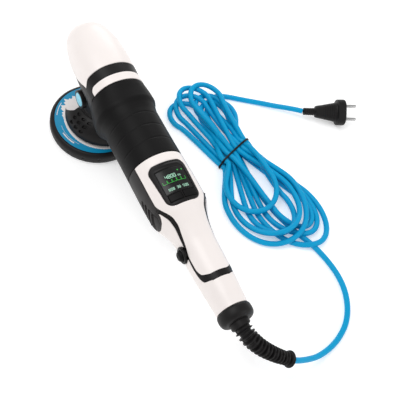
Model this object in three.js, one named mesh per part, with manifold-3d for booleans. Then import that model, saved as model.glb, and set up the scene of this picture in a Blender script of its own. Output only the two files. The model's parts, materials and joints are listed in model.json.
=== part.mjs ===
// Dual action polisher with a 21 mm throw, a 125 mm backing plate and a tied hank of mains cord.
//
// Millimetres, +Z up. The origin is the centre of the backing plate's hook face, and that face lies in
// the plane z = 0. +X points to the nose and -X to the handle. The machine's own spindle stands half a
// throw to the side of the plate's centre, so the machine is built about its spindle and set over.

import * as THREE from 'three';
import Module from 'manifold-3d';
import { LoftGeometry } from 'three/addons/geometries/LoftGeometry.js';
import { mergeVertices } from 'three/addons/utils/BufferGeometryUtils.js';

const wasm = await Module();
wasm.setup();

// ---------------------------------------------------------------- driving dimensions

const THROW = 21; // diameter of the plate's orbit
const OFFSET = THROW / 2;
const PLATE_RADIUS = 62.5;
const PLATE_TOP = 16.4;
const SHROUD_RADIUS = 52;
const SHROUD_RIM = 20.6;
const NECK_BOTTOM = 46.6;

const AXIS = 88; // height of the motor's axis
const NOSE = 84.5;
const HOOD_BACK = -3.5;
const STRIPE_FRONT = -18;
const GRIP_FRONT = -30;
const GRIP_BACK = -142.4;
const LOBE_FRONT = -206;
const BAND_FRONT = -300.3;
const BAND_BACK = -307.7;
const CAP_FRONT = -343;
const CAP_BACK = -364;
const HANDLE_AXIS = 84;

const GAP = 0.35; // clearance between neighbours
const WALL = 2.8; // plastic shells
const CORD = 7.5; // diameter of the mains cord

// Cross-sections of the outer surface, from the handle's end to the nose: distance forward, height of the
// centre, half width, rise to the top, drop to the bottom and squareness (2 is an ellipse).
const SECTIONS = [
	[ -343, 84, 20, 20, 20, 2 ],
	[ -325, 84.6, 21, 21, 21, 2 ],
	[ -300, 85, 22.2, 22.2, 22.2, 2 ],
	[ -275, 85.5, 23, 22.6, 23, 2 ],
	[ -256, 86, 23.3, 23.4, 23.2, 2 ],
	[ -246, 86.5, 24, 25, 24.5, 2 ],
	[ -236, 87, 25.5, 27.3, 26.5, 2 ],
	[ -225, 87.5, 28.5, 30.8, 31, 2.1 ],
	[ -215, 88, 33, 33.8, 35, 2.15 ],
	[ -204, 88, 36, 35.5, 37, 2.2 ],
	[ -180, 88, 36.5, 36, 37, 2.2 ],
	[ -150, 88, 36.5, 36, 37, 2.1 ],
	[ -110, 88, 36.5, 36, 37, 2 ],
	[ -74, 88, 36.5, 36.5, 37, 2 ],
	[ -64, 88, 37.8, 37.5, 41, 2.1 ],
	[ -55, 88, 41, 39.5, 47, 2.2 ],
	[ -45, 89, 40.3, 38.8, 47, 2.2 ],
	[ -30, 92, 37.8, 37.3, 41, 2.15 ],
	[ -12, 95, 37, 36, 37, 2.1 ],
	[ 5, 97, 37, 35, 36, 2.2 ],
	[ 25, 99, 36.5, 33.5, 35.5, 2.2 ],
	[ 45, 100, 35, 31.5, 34, 2.2 ],
	[ 60, 101, 32, 29, 31.5, 2.1 ],
	[ 70, 102, 28.5, 25, 27.5, 2.1 ],
	[ 78, 103, 22.5, 19, 21.5, 2 ],
	[ 82.5, 104, 14.5, 11.5, 13.5, 2 ],
	[ 84.5, 104, 5, 4, 5, 2 ],
];

// ---------------------------------------------------------------- finishes

function finish( color, roughness, metalness = 0 ) {

	return new THREE.MeshStandardMaterial( { color, roughness, metalness } );

}

const WHITE_PLASTIC = finish( 0xefe8e6, 0.45 );
const BLACK_PLASTIC = finish( 0x232122, 0.5 );
const SOFT_RUBBER = finish( 0x1a191a, 0.7 );
const HARD_RUBBER = finish( 0x242223, 0.65 );
const PLUG_BLUE = finish( 0x82cde6, 0.4 );
const LABEL_BLUE = finish( 0x008cb9, 0.4 );
const CORD_BLUE = finish( 0x009bdc, 0.5 );
const SCREEN = finish( 0x0c100e, 0.12 );
const BOARD = finish( 0x1f5a38, 0.6 );
const HOOK = finish( 0x1c1c1e, 0.95 );
const STEEL = finish( 0xa8aaad, 0.3, 1 );
const BRIGHT_STEEL = finish( 0xc9cacc, 0.2, 1 );
const ALUMINIUM = finish( 0xb4b6b8, 0.4, 1 );
const COPPER = finish( 0xb5683c, 0.4, 1 );
const CARBON = finish( 0x3a3a3c, 0.8 );

// ---------------------------------------------------------------- solids

// The closed solid of a geometry, turned the right way out.
function solid( geometry ) {

	const bare = new THREE.BufferGeometry().copy( geometry );
	bare.deleteAttribute( 'normal' );
	bare.deleteAttribute( 'uv' );
	const merged = mergeVertices( bare, 1e-4 );
	const points = merged.attributes.position.array;
	const corners = new Uint32Array( merged.index.array );
	const [ a, b, c ] = [ new THREE.Vector3(), new THREE.Vector3(), new THREE.Vector3() ];
	let volume = 0;
	for ( let i = 0; i < corners.length; i += 3 ) {

		a.fromArray( points, corners[ i ] * 3 );
		b.fromArray( points, corners[ i + 1 ] * 3 );
		c.fromArray( points, corners[ i + 2 ] * 3 );
		volume += a.dot( b.cross( c ) );

	}

	if ( volume < 0 ) {

		for ( let i = 0; i < corners.length; i += 3 ) {

			[ corners[ i + 1 ], corners[ i + 2 ] ] = [ corners[ i + 2 ], corners[ i + 1 ] ];

		}

	}

	const mesh = { numProp: 3, vertProperties: points, triVerts: corners };
	return new wasm.Manifold( new wasm.Mesh( mesh ) );

}

function mesh( name, body, material ) {

	const { vertProperties, triVerts } = body.getMesh();
	const geometry = new THREE.BufferGeometry();
	geometry.setAttribute( 'position', new THREE.BufferAttribute( vertProperties, 3 ) );
	geometry.setIndex( new THREE.BufferAttribute( triVerts, 1 ) );
	geometry.computeVertexNormals();
	const part = new THREE.Mesh( geometry, material );
	part.name = name;
	return part;

}

function box( [ x0, x1 ], [ y0, y1 ], [ z0, z1 ] ) {

	const geometry = new THREE.BoxGeometry( x1 - x0, y1 - y0, z1 - z0 );
	return solid( geometry.translate( ( x0 + x1 ) / 2, ( y0 + y1 ) / 2, ( z0 + z1 ) / 2 ) );

}

// A turned piece about the upright axis: profile points are [ radius, height ], closed on itself.
function turned( profile, sides = 32 ) {

	const points = [ ...profile, profile[ 0 ] ].map( ( [ r, z ] ) => new THREE.Vector2( r, z ) );
	return solid( new THREE.LatheGeometry( points, sides ).rotateX( Math.PI / 2 ) );

}

// A turned piece about the machine's long axis: profile points are [ radius, distance forward ].
function turnedAlong( profile, sides = 24, height = AXIS ) {

	return turned( profile, sides ).rotate( [ 0, 90, 0 ] ).translate( [ 0, 0, height ] );

}

// A turned piece about a crosswise axis: profile points are [ radius, distance to the left ].
function turnedAcross( profile, x, z, sides = 24 ) {

	return turned( profile, sides ).rotate( [ - 90, 0, 0 ] ).translate( [ x, 0, z ] );

}

function tube( inner, outer, low, high ) {

	return [ [ inner, low ], [ outer, low ], [ outer, high ], [ inner, high ] ];

}

function rod( radius, low, high ) {

	return [ [ 0, low ], [ radius, low ], [ radius, high ], [ 0, high ] ];

}

// An outline in the side view, points [ x, z ], carried across the machine from y0 to y1.
function sideways( outline, y0 = - 60, y1 = 60 ) {

	const shape = new THREE.Shape( outline.map( ( [ x, z ] ) => new THREE.Vector2( x, z ) ) );
	const geometry = new THREE.ExtrudeGeometry( shape, { depth: y1 - y0, bevelEnabled: false } );
	return solid( geometry.rotateX( Math.PI / 2 ).translate( 0, y1, 0 ) );

}

// An outline in plan, points [ x, y ], carried up from z0 to z1.
function upwards( outline, z0, z1 ) {

	const shape = new THREE.Shape( outline.map( ( [ x, y ] ) => new THREE.Vector2( x, y ) ) );
	return solid( new THREE.ExtrudeGeometry( shape, { depth: z1 - z0, bevelEnabled: false } )
		.translate( 0, 0, z0 ) );

}

// Points of a smooth open curve through the given ones.
function curveThrough( points, count ) {

	const curve = new THREE.SplineCurve( points.map( ( [ a, b ] ) => new THREE.Vector2( a, b ) ) );
	return curve.getPoints( count ).map( ( p ) => [ p.x, p.y ] );

}

function shifted( points, dx, dy ) {

	return points.map( ( [ a, b ] ) => [ a + dx, b + dy ] );

}

function cutAll( body, cutters ) {

	return cutters.reduce( ( left, cutter ) => left.subtract( cutter ), body );

}

// ---------------------------------------------------------------- the outer surface

// The cross-section at x: a cubic through the rows, with slopes held flat at each row's turning points.
function sectionAt( x ) {

	const slope = ( i, k ) => {

		if ( i === 0 || i === SECTIONS.length - 1 ) return 0;
		const before = ( SECTIONS[ i ][ k ] - SECTIONS[ i - 1 ][ k ] )
			/ ( SECTIONS[ i ][ 0 ] - SECTIONS[ i - 1 ][ 0 ] );
		const after = ( SECTIONS[ i + 1 ][ k ] - SECTIONS[ i ][ k ] )
			/ ( SECTIONS[ i + 1 ][ 0 ] - SECTIONS[ i ][ 0 ] );
		return before * after > 0 ? ( 2 * before * after ) / ( before + after ) : 0;

	};

	let i = 0;
	while ( i < SECTIONS.length - 2 && x > SECTIONS[ i + 1 ][ 0 ] ) i ++;
	const span = SECTIONS[ i + 1 ][ 0 ] - SECTIONS[ i ][ 0 ];
	const t = Math.min( 1, Math.max( 0, ( x - SECTIONS[ i ][ 0 ] ) / span ) );
	const value = ( k ) => SECTIONS[ i ][ k ] * ( 2 * t ** 3 - 3 * t ** 2 + 1 )
		+ SECTIONS[ i + 1 ][ k ] * ( 3 * t ** 2 - 2 * t ** 3 )
		+ span * ( slope( i, k ) * ( t ** 3 - 2 * t ** 2 + t )
			+ slope( i + 1, k ) * ( t ** 3 - t ** 2 ) );
	return { height: value( 1 ), halfWidth: value( 2 ), rise: value( 3 ), drop: value( 4 ),
		square: value( 5 ) };

}

// The solid inside the outer surface between two stations, drawn in by inset all round.
function hull( x0, x1, inset = 0, step = 12, around = 18 ) {

	const count = Math.max( 1, Math.ceil( ( x1 - x0 ) / step ) );
	const sections = [];
	for ( let i = 0; i <= count; i ++ ) {

		const x = x0 + ( x1 - x0 ) * i / count;
		const { height, halfWidth, rise, drop, square } = sectionAt( x );
		const ring = [];
		for ( let j = 0; j < around; j ++ ) {

			const angle = 2 * Math.PI * j / around;
			const side = Math.sign( Math.cos( angle ) ) * Math.abs( Math.cos( angle ) ) ** ( 2 / square );
			const up = Math.sign( Math.sin( angle ) ) * Math.abs( Math.sin( angle ) ) ** ( 2 / square );
			const tall = Math.max( 1, ( up > 0 ? rise : drop ) - inset );
			ring.push( new THREE.Vector3( x, Math.max( 1, halfWidth - inset ) * side,
				height + tall * up ) );

		}

		sections.push( ring );

	}

	return solid( new LoftGeometry( sections, { capStart: true, capEnd: true } ) );

}

// ---------------------------------------------------------------- side-view outlines

const TALL = 150; // above everything
const LOW = 20; // below the casings

// Lower edge of the white hood, from the nose back to its pointed rear corner.
const HOOD_EDGE = curveThrough( [ [ 90, 87 ], [ 60, 87 ], [ 40, 87.5 ], [ 22, 91 ], [ 5, 98 ],
	[ - 10.5, 104 ] ], 8 );
const HOOD_REGION = [ [ 90, TALL ], ...HOOD_EDGE, [ - 9, 108 ], [ HOOD_BACK, 117 ], [ HOOD_BACK, TALL ] ];

// The S-shaped seam under the white upper shell, from the grip back to the band round the handle.
const SEAM = curveThrough( [
	[ GRIP_BACK, 106.8 ], [ - 172, 107.4 ], [ - 198, 107.2 ], [ - 208, 110.2 ], [ - 218, 112 ],
	[ - 228, 109.6 ],
	[ - 242, 104 ], [ - 257, 99.2 ], [ - 272, 95.6 ], [ - 285, 95.2 ], [ - 295, 97.8 ],
	[ BAND_FRONT, 102.5 ],
], 18 );
const UPPER_REGION = [ [ GRIP_BACK - GAP, TALL ],
	...SEAM.map( ( [ x, z ] ) => [ Math.min( x, GRIP_BACK - GAP ), z ] ),
	[ BAND_FRONT, TALL ] ];

// The strip's lower edge: it thins towards the middle of the handle and turns up into the band.
const STRIP_EDGE = curveThrough( [
	[ LOBE_FRONT - 4, 106.4 ], [ - 218, 107.6 ], [ - 228, 105.2 ], [ - 242, 100.4 ], [ - 257, 96.6 ],
	[ - 272, 93.7 ],
	[ - 285, 92.6 ], [ - 296, 93.4 ], [ - 304, 96.4 ], [ BAND_BACK, 104 ],
], 14 );
const STRIP_REGION = [
	...SEAM.filter( ( [ x ] ) => x < LOBE_FRONT ).map( ( [ x, z ] ) => [ x - GAP / 2, z - GAP ] ),
	[ BAND_FRONT - GAP, TALL ], [ BAND_BACK, TALL ], ...STRIP_EDGE.toReversed(),
];

// The rear end of the black casing: a rounded lobe that laps over the handle's root.
const LOBE_EDGE = curveThrough( [
	[ LOBE_FRONT, 106.4 ], [ - 213, 103.6 ], [ - 218.5, 96 ], [ - 220, 86 ], [ - 216.5, 74 ],
	[ - 208, 63 ], [ - 202, LOW ],
], 9 );
const CASING_REGION = [
	[ GRIP_BACK - GAP, 106.3 ], [ - 172, 107 ], [ - 198, 106.7 ], ...LOBE_EDGE, [ GRIP_BACK - GAP, LOW ],
];
const HANDLE_REGION = [
	...shifted( STRIP_EDGE, 0, - GAP ).map( ( [ x, z ] ) => [ Math.max( x, BAND_BACK - GAP ), z ] ),
	[ BAND_BACK - GAP, TALL ], [ CAP_FRONT - 10, TALL ], [ CAP_FRONT - 10, LOW ],
	...shifted( LOBE_EDGE, - GAP * 1.3, 0 ).toReversed(),
];

// ---------------------------------------------------------------- head

const BOSS_X = 3;
const BOSS_HEIGHT = 67;
const BOSS_FACE = 38;

function hood() {

	const inside = hull( HOOD_BACK - 8, NOSE - 12, WALL, 12, 16 );
	return hull( HOOD_BACK - 8, NOSE, 0, 6.5 ).intersect( sideways( HOOD_REGION ) ).subtract( inside );

}

function gearHousing() {

	const back = GRIP_FRONT + GAP;
	const shown = hull( back, NOSE - 1, 0.5 )
		.subtract( sideways( shifted( HOOD_REGION, - GAP, - GAP * 1.4 ) ) );
	const hidden = hull( back, NOSE - 15, WALL + 1, 12, 16 );
	const gearCase = turned( rod( 33.4, NECK_BOTTOM, 92 ), 24 );
	const boss = turnedAcross( rod( 12.4, - BOSS_FACE, BOSS_FACE ), BOSS_X, BOSS_HEIGHT );
	const cavity = hull( back - 5, 50, WALL + 4, 18, 12 );
	const cuts = [
		cavity.intersect( box( [ - 40, 60 ], [ - 30, 30 ], [ 65, 125 ] ) ),
		turned( rod( 17.4, 50, 80 ), 24 ),
		turned( rod( 24.5, 69, 88 ), 24 ),
		turned( rod( 9, 40, 80 ), 24 ),
		hull( STRIPE_FRONT - 12, STRIPE_FRONT, - 1, 6 )
			.subtract( hull( STRIPE_FRONT - 13, STRIPE_FRONT + 1, 2.4, 7 ) )
			.intersect( box( [ - 40, 0 ], [ - 50, 50 ], [ 101, TALL ] ) ),
	];
	for ( const side of [ - 1, 1 ] ) {

		const ends = [ side * ( BOSS_FACE - 2 ), side * ( BOSS_FACE + 5 ) ];
		const [ y0, y1 ] = ends.sort( ( a, b ) => a - b );
		const [ t0, t1 ] = [ side * 27, side * BOSS_FACE ].sort( ( a, b ) => a - b );
		cuts.push( turnedAcross( rod( 9.8, y0, y1 ), BOSS_X, BOSS_HEIGHT ) );
		cuts.push( turnedAcross( rod( 4, t0, t1 ), BOSS_X, BOSS_HEIGHT, 12 ) );

	}

	const behind = box( [ - 60, back ], [ - 60, 60 ], [ 0, TALL ] );
	return cutAll( shown.add( hidden ).add( gearCase ).add( boss ), [ behind, ...cuts ] );

}

function stripe() {

	const ring = hull( GRIP_FRONT + GAP + 0.1, STRIPE_FRONT - GAP, 0, 6 );
	const keep = box( [ - 40, 0 ], [ - 50, 50 ], [ 101 + GAP, TALL ] );
	return ring.subtract( hull( GRIP_FRONT - 1, STRIPE_FRONT + 1, 2.05, 7 ) ).intersect( keep );

}

// A blue cap pressed into the threaded side-handle boss, with a small dimple in its middle.
function bossCap( side ) {

	const face = BOSS_FACE + 0.4;
	const profile = [
		[ 0, BOSS_FACE - 1.6 ], [ 9.4, BOSS_FACE - 1.6 ], [ 9.4, face - 0.5 ], [ 8.7, face ],
		[ 1.2, face + 0.3 ], [ 0.9, face - 0.4 ], [ 0, face - 0.4 ],
	];
	return turnedAcross( profile.map( ( [ r, y ] ) => [ r, side * y ] ), BOSS_X, BOSS_HEIGHT );

}

// The dome over the counterweight, open towards the nose, with two rows of slanted slots on each side.
function shroud() {

	const outside = [ [ SHROUD_RADIUS, SHROUD_RIM ], [ 51.6, 25 ], [ 47.5, 34 ], [ 40, 41.5 ],
		[ 31, NECK_BOTTOM - GAP ] ];
	const inside = [ [ 20, NECK_BOTTOM - GAP ], [ 20, 44.2 ], [ 30, 44.2 ], [ 38.5, 39.5 ],
		[ 45.5, 32.6 ], [ 49.2, 25 ],
		[ 49.4, SHROUD_RIM ] ];
	const dome = turned( [ ...outside, ...inside ], 28 );
	const mouth = sideways( [ [ 8, 70 ], [ 8, 40 ], [ 30, 19 ], [ 70, 19 ], [ 70, 70 ] ] );
	const cuts = [ mouth ];
	for ( const side of [ - 1, 1 ] ) {

		for ( const [ radius, height, first ] of [ [ 48.6, 31.5, 96 ], [ 42, 39, 88 ] ] ) {

			for ( let i = 0; i < 4; i ++ ) {

				const slot = box( [ - 6, 6 ], [ - 1.6, 1.6 ], [ - 3, 3 ] ).rotate( [ 0, 48, 0 ] );
				const turn = first + i * 13;
				cuts.push( slot.rotate( [ 0, 0, side * 14 ] ).translate( [ radius, 0, height ] )
					.rotate( [ 0, 0, side * turn ] ) );

			}

		}

	}

	return cutAll( dome, cuts );

}

// ---------------------------------------------------------------- grip and motor

function frontGrip() {

	return hull( GRIP_BACK, GRIP_FRONT, 0, 7.5 )
		.subtract( hull( GRIP_BACK - 2, GRIP_FRONT + 2, 3, 16, 16 ) );

}

function motorCasing() {

	const profile = [ [ 13.6, - 33.5 ], [ 32.4, - 33.5 ], [ 32.4, - 151 ], [ 30.6, - 151 ],
		[ 30.6, - 36.5 ], [ 16, - 36.5 ],
		[ 16, - 43 ], [ 13.6, - 43 ] ];
	return turnedAlong( profile, 24 );

}

function fan() {

	const wheel = turnedAlong( [ [ 5.3, - 46 ], [ 11, - 46 ], [ 12, - 50 ], [ 29, - 50 ],
		[ 29, - 51.5 ], [ 5.3, - 51.5 ] ], 20 );
	const blades = 9;
	let body = wheel;
	for ( let i = 0; i < blades; i ++ ) {

		const blade = box( [ - 62, - 51 ], [ - 0.7, 0.7 ], [ 12, 28.6 ] )
			.rotate( [ 360 * i / blades, 0, 0 ] );
		body = body.add( blade.translate( [ 0, 0, AXIS ] ) );

	}

	return body;

}

// A toothed wheel about the upright axis.
function gear( teeth, root, tip, low, high, bore ) {

	const outline = [];
	for ( let i = 0; i < teeth; i ++ ) {

		for ( const [ part, radius ] of [ [ 0.05, root ], [ 0.3, tip ], [ 0.55, tip ], [ 0.8, root ] ] ) {

			const angle = 2 * Math.PI * ( i + part ) / teeth;
			outline.push( [ radius * Math.cos( angle ), radius * Math.sin( angle ) ] );

		}

	}

	return upwards( outline, low, high ).subtract( turned( rod( bore, low - 1, high + 1 ), 20 ) );

}

const PINION_TEETH = 9;
const CROWN_TEETH = 36;

function pinion() {

	return gear( PINION_TEETH, 4.6, 6.4, - 26, - 12, 3.4 ).rotate( [ 0, 90, 0 ] )
		.translate( [ 0, 0, AXIS ] );

}

function crownGear() {

	return gear( CROWN_TEETH, 20, 22.5, 72, 80.8, 6.4 );

}

function shaft() {

	return turnedAlong( [ [ 0, - 184 ], [ 4, - 184 ], [ 4, - 168 ], [ 5, - 168 ], [ 5, - 27 ],
		[ 3.1, - 27 ], [ 3.1, - 11 ], [ 0, - 11 ] ], 20 );

}

function brushHolder( side ) {

	const [ y0, y1 ] = [ side * 14.5, side * 29 ].sort( ( a, b ) => a - b );
	const outer = box( [ - 151, - 139 ], [ y0, y1 ], [ AXIS - 5.5, AXIS + 5.5 ] );
	const inner = box( [ - 149, - 141 ], [ y0 - 1, y1 + 1 ], [ AXIS - 3.5, AXIS + 3.5 ] );
	return outer.subtract( inner );

}

function brush( side ) {

	const [ y0, y1 ] = [ side * 13.1, side * 26 ].sort( ( a, b ) => a - b );
	return box( [ - 148.6, - 141.4 ], [ y0, y1 ], [ AXIS - 3.1, AXIS + 3.1 ] );

}

// ---------------------------------------------------------------- eccentric and backing plate

// The spindle's foot: a round block bored off centre for the plate's bearing, with its balance weight.
function eccentric() {

	const block = turned( rod( 27.5, 27.5, 43.6 ), 22 );
	const weight = [ [ - 30, - 2 ], [ 30, - 2 ], [ 30, - 14 ], [ 20, - 30 ], [ 0, - 36 ],
		[ - 20, - 30 ], [ - 30, - 14 ] ];
	const bore = turned( rod( 13.4, 20, 40.4 ), 24 ).translate( [ 0, OFFSET, 0 ] );
	return block.add( upwards( weight, 30, 38.5 ) ).subtract( bore );

}

function plateHub() {

	const profile = [ [ 0, 5 ], [ 12, 5 ], [ 12, 17.4 ], [ 20, 17.4 ], [ 20, 19.6 ], [ 11.5, 22 ],
		[ 11.5, 27 ],
		[ 7, 27 ], [ 7, 39.6 ], [ 0, 39.6 ] ];
	return turned( profile, 20 );

}

function backingPlate() {

	const edge = [ [ 61, 2 ], [ PLATE_RADIUS, 4 ], [ PLATE_RADIUS, 11 ], [ 61.2, 14.4 ],
		[ 57.6, PLATE_TOP ] ];
	return turned( [ [ 0, 2 ], ...edge, [ 12.4, PLATE_TOP ], [ 12.4, 4.6 ], [ 0, 4.6 ] ], 36 );

}

// ---------------------------------------------------------------- rear casing and handle

function shell( region, x0, x1, inset = 0, thickness = WALL ) {

	const inside = hull( x0 - 2, x1 + 2, thickness, 14, 16 );
	return hull( x0, x1, inset ).intersect( sideways( region ) ).subtract( inside );

}

const CASING_BACK = - 224;
const SLOTS = [ [ - 183, 82, 17 ], [ - 191, 84, 20 ], [ - 199, 85, 23 ], [ - 207.5, 85, 20 ] ];

function rearCasing( side ) {

	const half = box( [ - 240, - 140 ], side > 0 ? [ 0.2, 60 ] : [ - 60, - 0.2 ], [ LOW, TALL ] );
	const cuts = SLOTS.map( ( [ x, z, length ] ) => {

		const slot = box( [ - 1.7, 1.7 ], [ 0, 60 ], [ - length / 2, length / 2 ] );
		return slot.rotate( [ 0, - 14, 0 ] ).translate( [ x, 0, z ] ).scale( [ 1, side, 1 ] );

	} );
	return cutAll( shell( CASING_REGION, CASING_BACK, GRIP_BACK - GAP ).intersect( half ), cuts );

}

const BEZEL_FRONT = - 160.3;
const BEZEL_BACK = - 211.8;

// The display panel's outline in plan: wider at the front, with rounded corners.
function panelOutline( front, back, halfFront, halfBack, radius ) {

	const shape = new THREE.Shape();
	shape.moveTo( front - radius, halfFront );
	shape.quadraticCurveTo( front, halfFront, front, halfFront - radius );
	shape.lineTo( front, radius - halfFront );
	shape.quadraticCurveTo( front, - halfFront, front - radius, - halfFront );
	shape.lineTo( back + radius, - halfBack );
	shape.quadraticCurveTo( back, - halfBack, back, radius - halfBack );
	shape.lineTo( back, halfBack - radius );
	shape.quadraticCurveTo( back, halfBack, back + radius, halfBack );
	return shape.getPoints( 4 ).map( ( p ) => [ p.x, p.y ] );

}

const BEZEL = panelOutline( BEZEL_FRONT, BEZEL_BACK, 23.6, 20.6, 7 );
const BEZEL_HOLE = panelOutline( BEZEL_FRONT + GAP, BEZEL_BACK - GAP, 23.6 + GAP, 20.6 + GAP, 7 );
const LENS = panelOutline( - 165, - 197.6, 18.2, 17, 3 );
const LENS_HOLE = panelOutline( - 165 + GAP, - 197.6 - GAP, 18.2 + GAP, 17 + GAP, 3 );
const BUTTON_SPANS = { left: [ 1.2, 17.2 ], right: [ - 17.2, - 1.2 ] };

function buttonOutline( [ y0, y1 ], grow = 0 ) {

	const middle = ( y0 + y1 ) / 2;
	const half = ( y1 - y0 ) / 2 + grow;
	return shifted( panelOutline( - 199 + grow, - 208 - grow, half, half - 0.6, 3 ), 0, middle );

}

function upperShell() {

	const body = shell( UPPER_REGION, BAND_FRONT, GRIP_BACK - GAP );
	return body.subtract( upwards( BEZEL_HOLE, 100, TALL ) );

}

function bezel() {

	const cuts = [ upwards( LENS_HOLE, 100, TALL ), ...Object.values( BUTTON_SPANS ).map(
		( span ) => upwards( buttonOutline( span, GAP ), 100, TALL ) ) ];
	const skin = hull( BEZEL_BACK - 2, BEZEL_FRONT + 2, - 0.9, 14 )
		.subtract( hull( BEZEL_BACK - 4, BEZEL_FRONT + 4, WALL, 20 ) );
	return cutAll( skin.intersect( upwards( BEZEL, 100, TALL ) ), cuts );

}

function lens() {

	const skin = hull( - 200, - 162, - 0.2, 20 ).subtract( hull( - 201, - 161, 2, 20 ) );
	return skin.intersect( upwards( LENS, 100, TALL ) );

}

function panelButton( span ) {

	const skin = hull( - 212, - 196, - 1.3, 16 ).subtract( hull( - 213, - 195, 2, 18 ) );
	return skin.intersect( upwards( buttonOutline( span ), 100, TALL ) );

}

const LOCK_X = - 261;
const LOCK_HEIGHT = 88.5;
const LOCK_HOLE = 7.9;
const TRIGGER_PIVOT = [ - 289, 68 ];
const TRIGGER_SLOT = [ - 294, - 235.2 ]; // longer than the trigger, which swings forward as it lifts

function handleBody() {

	const body = shell( HANDLE_REGION, CAP_FRONT + GAP, LOBE_FRONT );
	return cutAll( body, [
		box( TRIGGER_SLOT, [ - 8.6, 8.6 ], [ LOW, 76 ] ),
		turnedAcross( rod( LOCK_HOLE, 5, 60 ), LOCK_X, LOCK_HEIGHT ),
		turnedAcross( rod( 1.9, - 13, 13 ), ...TRIGGER_PIVOT, 16 ),
	] );

}

// The black strip along the seam and round the handle, notched for the lock button's sleeve.
function trimStrip() {

	const strip = shell( STRIP_REGION, BAND_BACK + 0.1, LOBE_FRONT, 0, 2.2 );
	return strip.subtract( turnedAcross( rod( LOCK_HOLE, 5, 60 ), LOCK_X, LOCK_HEIGHT ) );

}

// The finger trigger under the handle, hinged at its rear end, deepest at its front.
function trigger() {

	const belly = curveThrough( [ [ - 238.2, 62 ], [ - 238.6, 49 ], [ - 242.5, 45.4 ], [ - 250, 48.5 ],
		[ - 262, 55 ], [ - 276, 59.2 ],
		[ - 289, 61.2 ], [ - 292.6, 66 ] ], 14 );
	const pin = turnedAcross( rod( 1.9, - 30, 30 ), ...TRIGGER_PIVOT, 16 );
	return sideways( [ [ - 238.2, 73 ], ...belly, [ - 291, 73 ] ], - 8, 8 ).subtract( pin );

}

function triggerPin() {

	return turnedAcross( rod( 1.55, - 12.5, 12.5 ), ...TRIGGER_PIVOT, 14 );

}

function lockButton() {

	const profile = [ [ 0, 13.5 ], [ 4, 13.5 ], [ 4, 17 ], [ 6.8, 17 ], [ 6.8, 26.4 ], [ 5.8, 28.4 ],
		[ 3.4, 29.6 ], [ 0, 30 ] ];
	return turnedAcross( profile, LOCK_X, LOCK_HEIGHT );

}

function lockBezel() {

	const profile = [ [ 7.1, 16 ], [ 7.55, 16 ], [ 7.55, 23.6 ], [ 10.4, 23.6 ], [ 10.4, 24.8 ],
		[ 9.6, 25.6 ], [ 7.1, 25.6 ] ];
	return turnedAcross( profile, LOCK_X, LOCK_HEIGHT );

}

function endCap() {

	const profile = [ [ 11, CAP_FRONT - GAP ], [ 20.2, CAP_FRONT - GAP ], [ 21.2, CAP_FRONT - 3 ],
		[ 21, CAP_BACK + 5 ],
		[ 18, CAP_BACK + 0.8 ], [ 15, CAP_BACK ], [ 11, CAP_BACK ] ];
	return turnedAlong( profile, 24, HANDLE_AXIS );

}

// ---------------------------------------------------------------- cord

// The strain relief's middle line, from inside the cap out and down to where the bare cord leaves it.
const RELIEF_PATH = [ [ - 346, - 10.5, 84 ], [ - 364, - 10.5, 83.5 ], [ - 378, - 14, 79.5 ],
	[ - 391, - 24, 70.5 ],
	[ - 401, - 38, 59 ], [ - 408, - 52, 48 ], [ - 411.5, - 60.5, 42 ] ];

// Cord from the strain relief down to the floor and round to the hank, then from the hank to the plug.
const LEAD_PATH = [ [ - 411.8, - 61.2, 41.5 ], [ - 415, - 72, 33.5 ], [ - 417, - 90, 22 ],
	[ - 417, - 109, 11.8 ],
	[ - 413.5, - 130, 5 ], [ - 407, - 149, 3.75 ], [ - 394, - 169.5, 3.75 ], [ - 377, - 184, 3.75 ],
	[ - 356, - 194, 3.75 ],
	[ - 334, - 198, 3.75 ], [ - 308, - 196.5, 3.75 ], [ - 279, - 189.5, 3.75 ] ];
const TAIL_PATH = [ [ - 17, - 178.5, 3.75 ], [ - 21, - 195, 3.75 ], [ - 28.5, - 213.5, 3.75 ],
	[ - 38, - 229, 3.75 ], [ - 48.2, - 244, 4.4 ], [ - 60, - 257.5, 7.2 ], [ - 72, - 270.5, 11.4 ],
	[ - 82, - 281, 14.6 ], [ - 88.4, - 287.9, 15.7 ] ];

function pathThrough( points ) {

	return new THREE.CatmullRomCurve3( points.map( ( p ) => new THREE.Vector3( ...p ) ), false,
		'centripetal' );

}

// A round tube that tapers evenly from one radius to another along a path.
function taperedTube( path, radiusStart, radiusEnd, steps, sides ) {

	const frames = path.computeFrenetFrames( steps );
	const sections = [];
	for ( let i = 0; i <= steps; i ++ ) {

		const middle = path.getPointAt( i / steps );
		const radius = radiusStart + ( radiusEnd - radiusStart ) * i / steps;
		const ring = [];
		for ( let j = 0; j < sides; j ++ ) {

			const angle = 2 * Math.PI * j / sides;
			ring.push( middle.clone().addScaledVector( frames.normals[ i ], radius * Math.cos( angle ) )
				.addScaledVector( frames.binormals[ i ], radius * Math.sin( angle ) ) );

		}

		sections.push( ring );

	}

	return solid( new LoftGeometry( sections, { capStart: true, capEnd: true } ) );

}

function cord( points ) {

	const path = pathThrough( points );
	const section = new THREE.Shape();
	section.absarc( 0, 0, CORD / 2, 0, 2 * Math.PI );
	const steps = Math.ceil( path.getLength() / ( CORD * 2.9 ) );
	const options = { steps, curveSegments: 8, bevelEnabled: false, extrudePath: path };
	return solid( new THREE.ExtrudeGeometry( section, options ) );

}

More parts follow.
